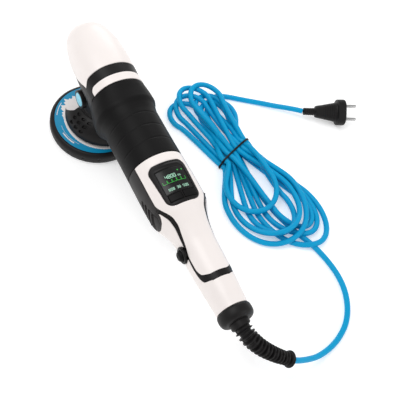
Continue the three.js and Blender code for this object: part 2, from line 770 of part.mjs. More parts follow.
// The tied hank in plan: narrow at its upper loops, waisted at the tie and fanned out at its lower loops.
const HANK_PLAN = [ [ 8, - 142 ], [ - 4, - 122 ], [ - 28, - 113 ], [ - 70, - 118 ], [ - 118, - 133 ],
	[ - 150, - 122 ],
	[ - 184, - 114 ], [ - 222, - 108 ], [ - 256, - 126 ], [ - 274, - 164 ], [ - 272, - 206 ],
	[ - 250, - 239 ],
	[ - 212, - 244 ], [ - 168, - 228 ], [ - 132, - 201 ], [ - 104, - 185 ], [ - 60, - 181 ],
	[ - 16, - 172 ] ];
const HANK_BOTTOM = 2.4;
const HANK_TOP = 26;

function hank() {

	const corners = HANK_PLAN.map( ( [ x, y ] ) => new THREE.Vector3( x, y, 0 ) );
	const curve = new THREE.CatmullRomCurve3( corners, true );
	const outline = curve.getPoints( 40 ).slice( 0, - 1 ).map( ( p ) => [ p.x, p.y ] );
	return upwards( outline, HANK_BOTTOM, HANK_TOP );

}

const TIE_CENTRE = [ - 114.5, - 158.5 ];
const TIE_TURN = 20;

// A thin rubber tie right round the hank's waist, over the top and under the bottom.
function cableTie() {

	const [ half, low, high, thick, wide ] = [ 29.6, 0.2, HANK_TOP + 0.5, 1.7, 2.6 ];
	const outer = box( [ - wide / 2, wide / 2 ], [ - half - thick, half + thick ],
		[ low, high + thick ] );
	const inner = box( [ - wide, wide ], [ - half, half ], [ low + thick, high ] );
	return outer.subtract( inner ).rotate( [ 0, 0, TIE_TURN ] ).translate( [ ...TIE_CENTRE, 0 ] );

}

// The plug lies on its flange's edge, so its pins' plane is rolled about the plug's own axis.
const PLUG_PLACE = new THREE.Vector3( - 89.2, - 288.9, 15.8 );
const PLUG_AXIS = new THREE.Vector3( - 0.39, - 0.92, 0.03 ).normalize();
const PLUG_ROLL = 0.61;
const PLUG_LENGTH = 62;
const PIN_SPACING = 19;

// Turns a piece built along +Z, with its pins apart along +X, into the plug's place.
function placePlug( piece ) {

	const level = new THREE.Vector3().crossVectors( new THREE.Vector3( 0, 0, 1 ), PLUG_AXIS ).normalize();
	const across = level.clone().applyAxisAngle( PLUG_AXIS, PLUG_ROLL );
	const third = new THREE.Vector3().crossVectors( PLUG_AXIS, across );
	const axes = new THREE.Matrix4().makeBasis( across, third, PLUG_AXIS );
	piece.applyMatrix4( axes.setPosition( PLUG_PLACE ) );
	return piece;

}

function plugBody() {

	const rings = [ [ 5.2, 5.2, 0 ], [ 5.6, 5.6, 17 ], [ 11, 8, 26 ], [ 14, 9.5, 38 ],
		[ 13.5, 9.5, 47 ], [ 19, 15.5, 50 ],
		[ 19.4, 16, 60 ], [ 18.6, 15.2, PLUG_LENGTH ] ];
	const sections = rings.map( ( [ wide, tall, z ] ) => {

		const ring = [];
		for ( let j = 0; j < 16; j ++ ) {

			const angle = 2 * Math.PI * j / 16;
			ring.push( new THREE.Vector3( wide * Math.cos( angle ), tall * Math.sin( angle ), z ) );

		}

		return ring;

	} );
	return solid( new LoftGeometry( sections, { capStart: true, capEnd: true } ) );

}

function plugPin( side ) {

	const root = PLUG_LENGTH + GAP;
	const tip = PLUG_LENGTH + 19;
	const profile = [ [ 0, root ], [ 2.4, root ], [ 2.4, tip - 1.4 ], [ 1.2, tip ], [ 0, tip ] ];
	return turned( profile, 14 ).translate( [ side * PIN_SPACING / 2, 0, 0 ] );

}

// ---------------------------------------------------------------- assembly

const polisher = new THREE.Group();
const machine = new THREE.Group();
machine.position.y = - OFFSET;
polisher.add( machine );

machine.add(
	mesh( 'head_cover', hood(), WHITE_PLASTIC ),
	mesh( 'gear_housing', gearHousing(), BLACK_PLASTIC ),
	mesh( 'head_stripe', stripe(), WHITE_PLASTIC ),
	mesh( 'boss_cap_left', bossCap( 1 ), PLUG_BLUE ),
	mesh( 'boss_cap_right', bossCap( - 1 ), PLUG_BLUE ),
	mesh( 'shroud', shroud(), BLACK_PLASTIC ),
	mesh( 'front_grip', frontGrip(), SOFT_RUBBER ),
	mesh( 'motor_casing', motorCasing(), BLACK_PLASTIC ),
	mesh( 'rear_casing_left', rearCasing( 1 ), BLACK_PLASTIC ),
	mesh( 'rear_casing_right', rearCasing( - 1 ), BLACK_PLASTIC ),
	mesh( 'upper_shell', upperShell(), WHITE_PLASTIC ),
	mesh( 'trim_strip', trimStrip(), BLACK_PLASTIC ),
	mesh( 'handle_body', handleBody(), WHITE_PLASTIC ),
	mesh( 'end_cap', endCap(), HARD_RUBBER ),
	mesh( 'display_bezel', bezel(), BLACK_PLASTIC ),
	mesh( 'display_lens', lens(), SCREEN ),
	mesh( 'speed_button_left', panelButton( BUTTON_SPANS.left ), SOFT_RUBBER ),
	mesh( 'speed_button_right', panelButton( BUTTON_SPANS.right ), SOFT_RUBBER ),
	mesh( 'display_board', box( [ - 209, - 164 ], [ - 17, 17 ], [ 111, 112.7 ] ), BOARD ),
	mesh( 'trigger', trigger(), SOFT_RUBBER ),
	mesh( 'trigger_pin', triggerPin(), STEEL ),
	mesh( 'lock_button', lockButton(), SOFT_RUBBER ),
	mesh( 'lock_bezel', lockBezel(), BLACK_PLASTIC ),
	mesh( 'switch_body', box( [ - 285, - 243 ], [ - 9.5, 9.5 ], [ 81.5, 99 ] ), BLACK_PLASTIC ),
	mesh( 'capacitor', turnedAlong( rod( 7, - 322, - 296 ), 16, 85 ), ALUMINIUM ),
);

machine.add(
	mesh( 'motor_shaft', shaft(), STEEL ),
	mesh( 'armature_core', turnedAlong( tube( 5.3, 20, - 122, - 72 ), 20 ), COPPER ),
	mesh( 'commutator', turnedAlong( tube( 5.3, 12.6, - 155, - 136 ), 18 ), COPPER ),
	mesh( 'cooling_fan', fan(), BLACK_PLASTIC ),
	mesh( 'pinion', pinion(), STEEL ),
	mesh( 'field_stator', turnedAlong( tube( 21, 30.2, - 120, - 74 ), 22 ), STEEL ),
	mesh( 'front_bearing', turnedAlong( tube( 5.35, 13.2, - 42, - 34 ), 20 ), BRIGHT_STEEL ),
	mesh( 'rear_bearing', turnedAlong( tube( 4.35, 11, - 180, - 172 ), 20 ), BRIGHT_STEEL ),
	mesh( 'rear_bearing_seat', turnedAlong( tube( 11.4, 22, - 181, - 171 ), 20 ), BLACK_PLASTIC ),
	mesh( 'brush_holder_left', brushHolder( 1 ), BRIGHT_STEEL ),
	mesh( 'brush_holder_right', brushHolder( - 1 ), BRIGHT_STEEL ),
	mesh( 'carbon_brush_left', brush( 1 ), CARBON ),
	mesh( 'carbon_brush_right', brush( - 1 ), CARBON ),
);

machine.add(
	mesh( 'crown_gear', crownGear(), STEEL ),
	mesh( 'spindle', turned( rod( 6, 43.9, 104 ), 16 ), STEEL ),
	mesh( 'spindle_top_bearing', turned( tube( 6.35, 11, 98, 104 ), 20 ), BRIGHT_STEEL ),
	mesh( 'spindle_main_bearing', turned( tube( 6.35, 17, 54, 64.5 ), 24 ), BRIGHT_STEEL ),
	mesh( 'eccentric', eccentric(), STEEL ),
);

polisher.add(
	mesh( 'plate_bearing', turned( tube( 7.35, 13, 29, 39.4 ), 24 ), BRIGHT_STEEL ),
	mesh( 'plate_hub', plateHub(), ALUMINIUM ),
	mesh( 'backing_plate', backingPlate(), HARD_RUBBER ),
	mesh( 'plate_label', turned( tube( 20.4, 56.3, PLATE_TOP + GAP, PLATE_TOP + GAP + 0.3 ), 36 ),
		LABEL_BLUE ),
	mesh( 'hook_disc', turned( rod( 61.3, 0, 1.65 ), 40 ), HOOK ),
);

polisher.add(
	mesh( 'strain_relief', taperedTube( pathThrough( RELIEF_PATH ), 10.2, 6.2, 14, 12 ), HARD_RUBBER ),
	mesh( 'cord_lead', cord( LEAD_PATH ), CORD_BLUE ),
	mesh( 'cord_hank', hank(), CORD_BLUE ),
	mesh( 'cable_tie', cableTie(), HARD_RUBBER ),
	mesh( 'cord_tail', cord( TAIL_PATH ), CORD_BLUE ),
	placePlug( mesh( 'plug_body', plugBody(), HARD_RUBBER ) ),
	placePlug( mesh( 'plug_pin_left', plugPin( 1 ), BRIGHT_STEEL ) ),
	placePlug( mesh( 'plug_pin_right', plugPin( - 1 ), BRIGHT_STEEL ) ),
);

export default polisher;
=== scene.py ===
# %% [markdown]
# # A dual action polisher with its tied cord
#
# The polisher stands on its backing plate, with its blue cord tied in a hank beside it. The imported model
# holds the structure and every moving body. This lesson gives it its looks: smooth moulded shells in place
# of the faceted ones, a cord laid in its turns, and a material for every piece.

# %% Load the imported model
import json

import bmesh
import bpy
import numpy as np
from mathutils import Matrix


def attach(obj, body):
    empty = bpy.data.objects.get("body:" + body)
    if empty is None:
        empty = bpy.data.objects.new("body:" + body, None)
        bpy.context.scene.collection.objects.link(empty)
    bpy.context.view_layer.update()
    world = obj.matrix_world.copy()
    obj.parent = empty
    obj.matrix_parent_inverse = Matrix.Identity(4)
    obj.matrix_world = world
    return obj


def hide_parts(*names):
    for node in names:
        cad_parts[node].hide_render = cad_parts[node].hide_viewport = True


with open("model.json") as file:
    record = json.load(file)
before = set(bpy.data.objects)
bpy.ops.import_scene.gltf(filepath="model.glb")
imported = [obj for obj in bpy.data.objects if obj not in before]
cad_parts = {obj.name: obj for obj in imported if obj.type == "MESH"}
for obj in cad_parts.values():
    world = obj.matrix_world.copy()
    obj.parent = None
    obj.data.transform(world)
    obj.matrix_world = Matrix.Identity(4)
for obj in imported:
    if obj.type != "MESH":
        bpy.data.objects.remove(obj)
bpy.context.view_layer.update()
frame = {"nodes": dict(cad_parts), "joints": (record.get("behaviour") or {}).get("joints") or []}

MM = 0.001

# %% [markdown]
# The machine stands beside the plate's centre by half the plate's orbit, so everything on the machine is
# worked out about its own middle plane and then set over by that much. These are the driving dimensions,
# in millimetres, the same as the solid model's.

# %% Driving dimensions
OFFSET = -1000 * next(j for j in frame["joints"] if j["name"] == "spindle_spin")["pos_m"][1]
NOSE = 84.5
HOOD_BACK = -3.5
STRIPE = (-29.6, -18.3)
GRIP = (-142.4, -30.0)
BAND = (-307.7, -300.3)
CAP = (-364.0, -343.0)
HANDLE_HEIGHT = 84.0
CORD = 7.5
GAP = 0.35
print("the machine stands", OFFSET, "mm beside the plate's centre")

# %% [markdown]
# The camera looks down on the machine from behind its left side, with a long lens, and it is rolled a
# little so that the machine lies across the frame from corner to corner.

# %% Camera
CAMERA_PLACE = (-0.5822, 0.3274, 0.8993)
CAMERA_AXES = ((-0.4579, -0.8703, 0.1811), (0.7975, -0.3120, 0.5162), (-0.3929, 0.3809, 0.8370))


def orthonormal(rows):
    """Three unit vectors at right angles, nearest to the ones given: the polar part of the matrix."""
    u, _, v = np.linalg.svd(np.array(rows))
    return u @ v


lens = bpy.data.cameras.new("camera")
lens.lens = 72
lens.sensor_width = 36
camera = bpy.data.objects.new("camera", lens)
bpy.context.scene.collection.objects.link(camera)
pose = np.eye(4)
pose[:3, :3] = orthonormal(CAMERA_AXES).T
pose[:3, 3] = CAMERA_PLACE
camera.matrix_world = Matrix(pose.tolist())
bpy.context.scene.camera = camera
print("camera", np.round(np.linalg.norm(CAMERA_PLACE), 3), "m from the origin")

# %% [markdown]
# Every new piece is one or more grids of points. A grid is an array of rows and columns of points, and
# neighbouring points are joined in squares. Grids that meet are welded, and a sheet can be given a wall.
# Joining primitives would be quicker, but a grid is worked out by a formula, so it can have any shape.

# %% From grids of points to a piece
WELD = 0.00002
SLIVER = 0.000005
SHARP = np.radians(40)


def faces_of(rows, columns, wrap):
    """Corner numbers of every square of a grid: row r and column c join r + 1 and c + 1."""
    r = np.arange(rows - 1)[:, None]
    c = np.arange(columns if wrap else columns - 1)[None, :]
    after = (c + 1) % columns
    corners = [r * columns + c, r * columns + after, (r + 1) * columns + after, (r + 1) * columns + c]
    return np.stack([np.broadcast_to(k, (rows - 1, c.size)) for k in corners], axis=-1).reshape(-1, 4)


def piece(name, grids, finish, body="machine", wrap=False, wall=0, flip=False, stands_for=()):
    """Puts grids, arrays of rows x columns x 3 in millimetres, into one welded mesh in metres."""
    points, corners, start = [], [], 0
    for grid in grids:
        rows, columns = grid.shape[:2]
        corners.append(faces_of(rows, columns, wrap) + start)
        points.append(grid.reshape(-1, 3))
        start += rows * columns
    data = bpy.data.meshes.new(name)
    data.from_pydata(np.concatenate(points) * MM, [], np.concatenate(corners).tolist())
    shape = bmesh.new()
    shape.from_mesh(data)
    bmesh.ops.remove_doubles(shape, verts=shape.verts, dist=WELD)
    bmesh.ops.dissolve_degenerate(shape, edges=shape.edges, dist=SLIVER)
    inside_out = wall == 0 and shape.calc_volume(signed=True) < 0
    if flip or inside_out:
        bmesh.ops.reverse_faces(shape, faces=shape.faces)
    shape.to_mesh(data)
    shape.free()
    data.shade_smooth()
    made = bpy.data.objects.new(name, data)
    bpy.context.scene.collection.objects.link(made)
    if wall:
        thicken(made, wall)
    data = made.data
    data.set_sharp_from_angle(angle=SHARP)
    data.materials.append(finish)
    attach(made, body)
    if stands_for:
        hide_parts(*stands_for)
    print(f"{name}: {len(data.polygons)} faces")
    return made


def thicken(made, wall):
    """Gives a sheet a wall inwards, and keeps the result as its mesh."""
    solidify = made.modifiers.new("wall", "SOLIDIFY")
    solidify.thickness = wall * MM
    solidify.offset = -1
    evaluated = made.evaluated_get(bpy.context.evaluated_depsgraph_get())
    walled = bpy.data.meshes.new_from_object(evaluated)
    made.modifiers.clear()
    made.data = walled


# %% [markdown]
# A material is a small network of nodes. Writing its maths as plain Python keeps it readable: a number on
# its way through the network is a Signal, and adding or multiplying signals adds the Math nodes. Every
# finish varies a little over its surface, as real mouldings and machined parts do.

# %% Signals and finishes
class Signal:
    """A socket's value in an expression: each operator adds one Math node."""

    def __init__(self, finish, socket):
        self.finish = finish
        self.socket = socket

    def maths(self, operation, first, second):
        return self.finish.node("ShaderNodeMath", {"operation": operation}, {0: first, 1: second})

    def __add__(self, other):
        return self.maths("ADD", self, other)

    __radd__ = __add__

    def __sub__(self, other):
        return self.maths("SUBTRACT", self, other)

    def __mul__(self, other):
        return self.maths("MULTIPLY", self, other)


class Finish:
    """A material under construction, with its Principled shader ready."""

    def __init__(self, name):
        self.material = bpy.data.materials.new(name)
        self.material.use_nodes = True
        self.tree = self.material.node_tree
        self.shader = self.tree.nodes["Principled BSDF"]

    def feed(self, socket, value):
        if isinstance(value, Signal):
            self.tree.links.new(value.socket, socket)
        else:
            socket.default_value = value

    def node(self, kind, settings=None, values=None, out=0):
        """Adds a node of that kind, sets its settings first, then feeds its sockets."""
        made = self.tree.nodes.new(kind)
        for key, value in (settings or {}).items():
            setattr(made, key, value)
        for key, value in (values or {}).items():
            self.feed(made.inputs[key], value)
        return Signal(self, made.outputs[out])

    def surface(self, **values):
        """Feeds the Principled shader's sockets, named with underscores."""
        for key, value in values.items():
            self.feed(self.shader.inputs[key.replace("_", " ")], value)
        return self.material

    def place(self):
        return self.node("ShaderNodeTexCoord", out="Object")

    def noise(self, scale, detail=3, roughness=0.5, stretch=None):
        where = self.place()
        if stretch:
            where = self.node("ShaderNodeMapping", {}, {"Vector": where, "Scale": stretch})
        values = {"Vector": where, "Scale": scale, "Detail": detail, "Roughness": roughness}
        return self.node("ShaderNodeTexNoise", {}, values)

    def mix(self, factor, first, second):
        return self.node("ShaderNodeMix", {"data_type": "RGBA"}, {0: factor, 6: first, 7: second}, out=2)

    def bump(self, height, distance):
        return self.node("ShaderNodeBump", {}, {"Height": height, "Distance": distance})


def shade(colour, amount):
    return tuple(min(1.0, c * amount) for c in colour) + (1.0,)


def moulded(name, colour, roughness, grain=900, depth=0.00004, mottle=0.05, specular=0.5, glow=0.0):
    """Moulded plastic or rubber: a broad mottle in colour and gloss, and a fine grain in the surface."""
    made = Finish(name)
    broad = made.noise(24, detail=4)
    fine = made.noise(grain, detail=2)
    tint = made.mix(broad, shade(colour, 1 - mottle), shade(colour, 1 + mottle))
    gloss = roughness + (broad - 0.5) * 0.16 + (fine - 0.5) * 0.1
    made.surface(Base_Color=tint, Roughness=gloss, Normal=made.bump(fine, depth))
    return made.surface(Specular_IOR_Level=specular, Emission_Strength=glow)


def metal(name, colour, roughness, stretch, depth=0.00002):
    """Machined metal: a noise drawn out along the tool's path varies the gloss and the surface."""
    made = Finish(name)
    marks = made.noise(500, detail=4, stretch=stretch)
    tint = made.mix(marks, shade(colour, 0.86), shade(colour, 1.08))
    made.surface(Base_Color=tint, Roughness=roughness + (marks - 0.5) * 0.25)
    return made.surface(Metallic=1.0, Normal=made.bump(marks, depth))


WHITE = moulded("white_satin", (0.86, 0.80, 0.775), 0.36, grain=1500, depth=0.000012, mottle=0.012)
BLACK = moulded("black_moulded", (0.0075, 0.0068, 0.007), 0.4, grain=1100, depth=0.00003, specular=0.2)
CASING = moulded("grey_black_moulded", (0.0165, 0.0145, 0.0145), 0.48, grain=900, depth=0.00004,
                  specular=0.3)
SOFT = moulded("soft_grip", (0.0042, 0.004, 0.0042), 0.5, grain=1600, depth=0.00003, specular=0.13)
RUBBER = moulded("firm_rubber", (0.008, 0.0073, 0.0075), 0.45, grain=1200, depth=0.00004, specular=0.2)
SKY = moulded("sky_blue_plastic", (0.24, 0.63, 0.79), 0.34, grain=1400, depth=0.00001, mottle=0.03)
CORD_BLUE = moulded("cord_sheath", (0.0, 0.33, 0.62), 0.42, grain=700, depth=0.00003, mottle=0.06,
                    specular=0.16)
GLOSS = moulded("gloss_black", (0.004, 0.0044, 0.0044), 0.3, grain=1600, depth=0.000004, specular=0.3)
STEEL = metal("ground_steel", (0.55, 0.56, 0.58), 0.32, (1, 1, 14))
CHROME = metal("bright_steel", (0.5, 0.5, 0.5), 0.2, (6, 6, 1), depth=0.000004)
ALLOY = metal("turned_alloy", (0.62, 0.63, 0.65), 0.38, (1, 1, 10))
COPPER = metal("wound_copper", (0.66, 0.3, 0.14), 0.36, (12, 1, 1), depth=0.0001)
print("finishes:", len(bpy.data.materials))

# %% [markdown]
# The cord is one length, from the strain relief to the plug. Its route has listed points where it
# lies loose. In the hank it goes round seven turns: each is a loop beyond the tie towards the handle and a
# fold beyond the tie towards the nose. A smooth curve goes through them all.

# %% The cord's route
LEAD = [(-411.8, -61.2, 41.5), (-415, -72, 33.5), (-417, -90, 22), (-417, -109, 11.8), (-413.5, -130, 5),
        (-407, -149, 3.75), (-394, -169.5, 3.75), (-377, -184, 3.75), (-356, -194, 3.75),
        (-334, -198, 3.75), (-308, -196.5, 3.75), (-279, -189.5, 3.75), (-252, -178, 4), (-214, -167, 4),
        (-170, -162, 5)]
TAIL = [(-80, -172.5, 10), (-54, -170, 6), (-31, -169, 4), (-16, -175, 3.75), (-14, -188, 3.75),
        (-20.5, -202, 3.75), (-29, -215, 3.75), (-38, -229, 3.75), (-48.2, -244, 4.4), (-60, -257.5, 7.2),
        (-72, -270.5, 11.4), (-82, -281, 14.6), (-88.4, -287.9, 15.7)]
TIE = np.array([-114.5, -158.5])
TIE_TURN = np.radians(20)
TIE_ACROSS = np.array([-np.sin(TIE_TURN), np.cos(TIE_TURN)])
TIE_ALONG = np.array([np.cos(TIE_TURN), np.sin(TIE_TURN)])
TIE_STEP = 6
LAYERS = (6.2, 13.2)
END_TURN = np.radians(112)

# Each turn: reach beyond the tie, direction in degrees, half length and half width of the rounded end,
# and the height that it starts from. A fold points to the nose, a loop to the handle.
FOLDS = [(114, 22, 26, 21, 12), (116, 14, 27, 21, 15), (124, 8, 28, 21, 18), (119, -1, 30, 22, 24),
         (104, -2, 26, 20, 12), (92, -4, 26, 20, 8), (94, -14, 26, 21, 4)]
LOOPS = [(150, 1, 64, 53, 19), (138, 1, 52, 43, 16), (137, 2, 42, 30, 11), (172, 15, 62, 42, 4),
         (154, 16, 48, 33, 7), (144, 17, 36, 24, 9), (98, -7, 38, 34, 28)]
# Where each turn passes the tie: distance across and layer, on the far side and on the machine's side.
FAR_PASSES = [(-3.7, 0), (-11.1, 1), (-3.7, 1), (-22, 1), (-25.9, 0), (-18.5, 0), (-11.1, 0), (-17, 1)]
NEAR_PASSES = [(25.9, 0), (18.5, 0), (11.1, 0), (3.7, 0), (3.7, 1), (11.1, 1), (20.5, 1)]


def rounded_end(reach, angle, along, across, height, towards, count):
    """An ellipse's arc round the far end of a turn: along * cos a one way, across * sin a the other."""
    angle = np.radians(angle)
    way = np.array([np.cos(angle), np.sin(angle)]) * towards
    side = np.array([-np.sin(angle), np.cos(angle)])
    centre = TIE + way * (reach - along)
    turn = np.linspace(-towards, towards, count) * END_TURN
    flat = centre + along * np.cos(turn)[:, None] * way + across * np.sin(turn)[:, None] * side
    return np.column_stack([flat, np.full(count, height)])


def tie_pass(across, layer, way):
    """Three points straight through the tie, so that the strand lies square to it."""
    middle = TIE + across * TIE_ACROSS
    steps = np.array([-TIE_STEP, 0, TIE_STEP])[:, None] * way
    return np.column_stack([middle + steps * TIE_ALONG, np.full(3, LAYERS[layer])])


def cubic(t, span, first, last, first_slope, last_slope):
    """The cubic over one span, t from 0 to 1, with those values and slopes at its two ends."""
    return (first * (2 * t**3 - 3 * t**2 + 1) + last * (3 * t**2 - 2 * t**3)
            + span * (first_slope * (t**3 - 2 * t**2 + t) + last_slope * (t**3 - t**2)))


def through(points, spacing):
    """A smooth curve through points: each span is a cubic whose slope at a point follows its neighbours."""
    p = np.asarray(points, float)
    gaps = np.sqrt(np.linalg.norm(np.diff(p, axis=0), axis=1))
    knots = np.concatenate([[0], np.cumsum(gaps)])
    steps = np.diff(knots)[:, None]
    rates = np.diff(p, axis=0) / steps
    inner = (rates[:-1] * steps[1:] + rates[1:] * steps[:-1]) / (steps[1:] + steps[:-1])
    slopes = np.vstack([2 * rates[:1] - inner[:1], inner, 2 * rates[-1:] - inner[-1:]])
    at = np.linspace(0, knots[-1], len(p) * 24)
    i = np.clip(np.searchsorted(knots, at, side="right") - 1, 0, len(p) - 2)
    h = steps[i]
    t = ((at - knots[i]) / h[:, 0])[:, None]
    return evenly(cubic(t, h, p[i], p[i + 1], slopes[i], slopes[i + 1]), spacing)


def evenly(curve, spacing):
    """The same line with its points an even distance apart."""
    run = np.concatenate([[0], np.cumsum(np.linalg.norm(np.diff(curve, axis=0), axis=1))])
    at = np.linspace(0, run[-1], int(round(run[-1] / spacing)) + 1)
    return np.column_stack([np.interp(at, run, curve[:, k]) for k in range(curve.shape[1])])


def length_of(curve):
    return np.linalg.norm(np.diff(curve, axis=0), axis=1).sum()


route = [np.array(LEAD)]
for turn, (fold, loop) in enumerate(zip(FOLDS, LOOPS)):
    route += [tie_pass(*FAR_PASSES[turn], 1), rounded_end(*fold, 1, 9)]
    route += [tie_pass(*NEAR_PASSES[turn], -1), rounded_end(*loop, -1, 13)]
route = np.concatenate(route + [tie_pass(*FAR_PASSES[-1], 1), np.array(TAIL)])
line = through(route, 3.0)
print("route:", len(route), "points,", round(length_of(line) * MM, 3), "m")

# %% [markdown]
# Strands that cross can't share a place, so the route is settled: wherever two strands lie over each
# other, the upper one is lifted and the lower one pressed down until they just touch, while gravity and the
# sheath's stiffness smooth the humps. Only heights change, so the hank keeps its plan.

# %% Settle the crossings
FLOOR_HEIGHT = CORD / 2
LOOSE_FROM = 60
LOOSE_TO = -50
NEIGHBOURS = 9
KERNEL_REACH = 12


def smoothed(height, kernel):
    return np.convolve(np.pad(height, KERNEL_REACH, mode="edge"), kernel, mode="valid")


def settle(curve, diameter, steps=400, stiffness=4):
    """Heights after lifting crossings apart, pulling down by gravity and smoothing along the line."""
    plan, height = curve[:, :2], curve[:, 2].copy()
    apart = np.linalg.norm(plan[:, None] - plan[None, :], axis=-1)
    index = np.arange(len(curve))
    low, high = np.nonzero((apart < diameter) & (index[None, :] - index[:, None] > NEIGHBOURS))
    need = np.sqrt(diameter**2 - apart[low, high] ** 2)
    order = np.sign(height[high] - height[low] + 1e-6)
    kernel = np.exp(-0.5 * (np.arange(-KERNEL_REACH, KERNEL_REACH + 1) / stiffness) ** 2)
    kernel /= kernel.sum()
    loose = np.zeros(len(curve))
    loose[LOOSE_FROM:LOOSE_TO] = 1
    for step in range(steps):
        height -= 0.12 * loose
        height += 0.4 * loose * (smoothed(height, kernel) - height)
        for again in range(3):
            lack = np.maximum(0, need - order * (height[high] - height[low])) * 0.5
            count = np.bincount(high, lack > 0, len(height)) + np.bincount(low, lack > 0, len(height))
            push = np.bincount(high, lack * order, len(height)) - np.bincount(low, lack * order, len(height))
            height += loose * push / np.maximum(count, 1) * 1.4
            height = np.maximum(height, FLOOR_HEIGHT)
    for again in range(2):
        height += 0.6 * loose * (smoothed(height, kernel) - height)
    return np.column_stack([plan, np.where(loose > 0, np.maximum(height, FLOOR_HEIGHT), curve[:, 2])])


line = settle(line, CORD * 0.97)

# %% [markdown]
# A round tube is a circle carried along the line. At each point the circle stands square to the line, with
# one axis kept level, so it never twists. A bevelled curve would look the same, but a grid closes its ends
# and keeps its exact thickness.

# %% The cord
def unit(vectors):
    """The same ways, each of length 1."""
    return vectors / np.linalg.norm(vectors, axis=-1, keepdims=True)


def sweep(curve, radius, sides=14):
    """point(i, a) = curve(i) + radius(i, a) * (level * cos a + up * sin a), with a point at each end."""
    along = unit(np.gradient(curve, axis=0))
    level = unit(np.cross([0.0, 0.0, 1.0], along))
    up = np.cross(along, level)
    angle = np.linspace(0, 2 * np.pi, sides, endpoint=False)
    ring = np.cos(angle)[None, :, None] * level[:, None] + np.sin(angle)[None, :, None] * up[:, None]
    reach = np.broadcast_to(radius, (len(curve), sides))[..., None]
    first, last = (np.repeat(curve[k][None, None], sides, axis=1) for k in (0, -1))
    return np.concatenate([first, curve[:, None] + reach * ring, last])


cord = piece("mains_cord", [sweep(line, CORD / 2)], CORD_BLUE, wrap=True,
             stands_for=("cord_lead", "cord_hank", "cord_tail"))

# %% [markdown]
# The tie is a thin rubber ring pulled round the bundle. Its line is the tight belt round every strand that
# passes there: for each direction it touches the strand that reaches furthest that way.

# %% The tie round the hank
TIE_THICK = 1.9


def belt(centres, radius, count=180):
    """The convex belt round equal circles: in each direction, the furthest centre plus the radius."""
    angle = np.linspace(0, 2 * np.pi, count, endpoint=False)
    way = np.column_stack([np.cos(angle), np.sin(angle)])
    furthest = np.argmax(centres @ way.T, axis=0)
    return centres[furthest] + radius * way


from_tie = line[:, :2] - TIE
through_tie = np.abs(from_tie @ TIE_ALONG) < 1.6
near_tie = through_tie & (np.abs(from_tie @ TIE_ACROSS) < 45)
strands = np.column_stack([from_tie[near_tie] @ TIE_ACROSS, line[near_tie, 2]])
ring = belt(strands, (CORD + TIE_THICK) / 2)
ring = np.array([np.interp(np.linspace(0, len(ring), 241)[:-1], np.arange(len(ring) + 1),
                           np.append(ring[:, k], ring[0, k])) for k in (0, 1)]).T
ring[:, 1] = np.maximum(ring[:, 1], 1.0)
TIE_BAND = [(-0.9, -0.6), (0.9, -0.6), (1.1, -0.3), (1.1, 0.3), (0.9, 0.6), (-0.9, 0.6), (-1.1, 0.3),
            (-1.5, -0.4), (-1.3, -0.8)]
onward = np.roll(ring, -1, axis=0) - np.roll(ring, 1, axis=0)
outward = unit(np.column_stack([onward[:, 1], -onward[:, 0]]))
band = np.array(TIE_BAND)
flat = ring[:, None] + band[None, :, 1, None] * outward[:, None]
grid = np.empty((len(ring), len(band), 3))
grid[..., :2] = TIE + flat[..., :1] * TIE_ACROSS + band[None, :, :1] * TIE_ALONG
grid[..., 2] = flat[..., 1]
tie = piece("hank_tie", [np.concatenate([grid, grid[:1]])], RUBBER,
            stands_for=("cable_tie",))
print(near_tie.sum(), "points pass the tie")

# %% [markdown]
# The plug lies on its flange beside the hank. It is a loft: an oval that swells from the cord's sleeve to
# the body, waists for the fingers, and spreads to the flange that carries the two pins. One loft keeps the
# flowing joins of moulded rubber, which boxes and cylinders would not.

# %% The plug
PLUG_PLACE = np.array([-89.2, -288.9, 15.8])
PLUG_LENGTH = 62.0
PIN_SPACING = 19.0
PLUG_WAY = (-0.39, -0.92, 0.03)
PLUG_ROLL = 0.61
PLUG_SIDES = 72


def plug_frame():
    """The plug's own axes: across its pins, across its thickness, and along it."""
    along = unit(np.array(PLUG_WAY))
    level = unit(np.cross([0.0, 0.0, 1.0], along))
    across = level * np.cos(PLUG_ROLL) + np.cross(along, level) * np.sin(PLUG_ROLL)
    return np.stack([across, np.cross(along, across), along])


def smooth_through(rows, at):
    """Each column of rows as a smooth function of its first: a cubic that never overshoots a row."""
    rows = np.asarray(rows, float)
    x, y = rows[:, 0], rows[:, 1:]
    rate = np.diff(y, axis=0) / np.diff(x)[:, None]
    before, after = rate[:-1], rate[1:]
    same = before * after > 0
    inner = np.where(same, 2 * before * after / np.where(same, before + after, 1), 0)
    slope = np.vstack([np.zeros((1, y.shape[1])), inner, np.zeros((1, y.shape[1]))])
    at = np.asarray(at, float)
    i = np.clip(np.searchsorted(x, at, side="right") - 1, 0, len(x) - 2)
    span = (x[i + 1] - x[i])[..., None]
    t = np.clip((at - x[i])[..., None] / span, 0, 1)
    return np.moveaxis(cubic(t, span, y[i], y[i + 1], slope[i], slope[i + 1]), -1, 0)


PLUG_ROWS = [(0, 4.2, 4.2, 2), (0.6, 5.2, 5.2, 2), (17, 5.6, 5.6, 2), (18.2, 8.2, 7, 2.2),
             (27, 10, 7.8, 2.3), (38, 12.2, 8.8, 2.4), (47, 14, 9.6, 2.4), (49.6, 14.8, 10.5, 2.4),
             (50.4, 18.2, 14.8, 2.4), (51.2, 18.8, 15.2, 2.4), (60.2, 19, 15.4, 2.4), (61.4, 18.5, 15, 2.4),
             (62, 17.6, 14.2, 2.4)]


def squared_circle(angle, square):
    """The circle squared off: |cos a|^(2/q) and |sin a|^(2/q), each with its own sign."""
    side, up = np.cos(angle), np.sin(angle)
    return np.sign(side) * np.abs(side) ** (2 / square), np.sign(up) * np.abs(up) ** (2 / square)


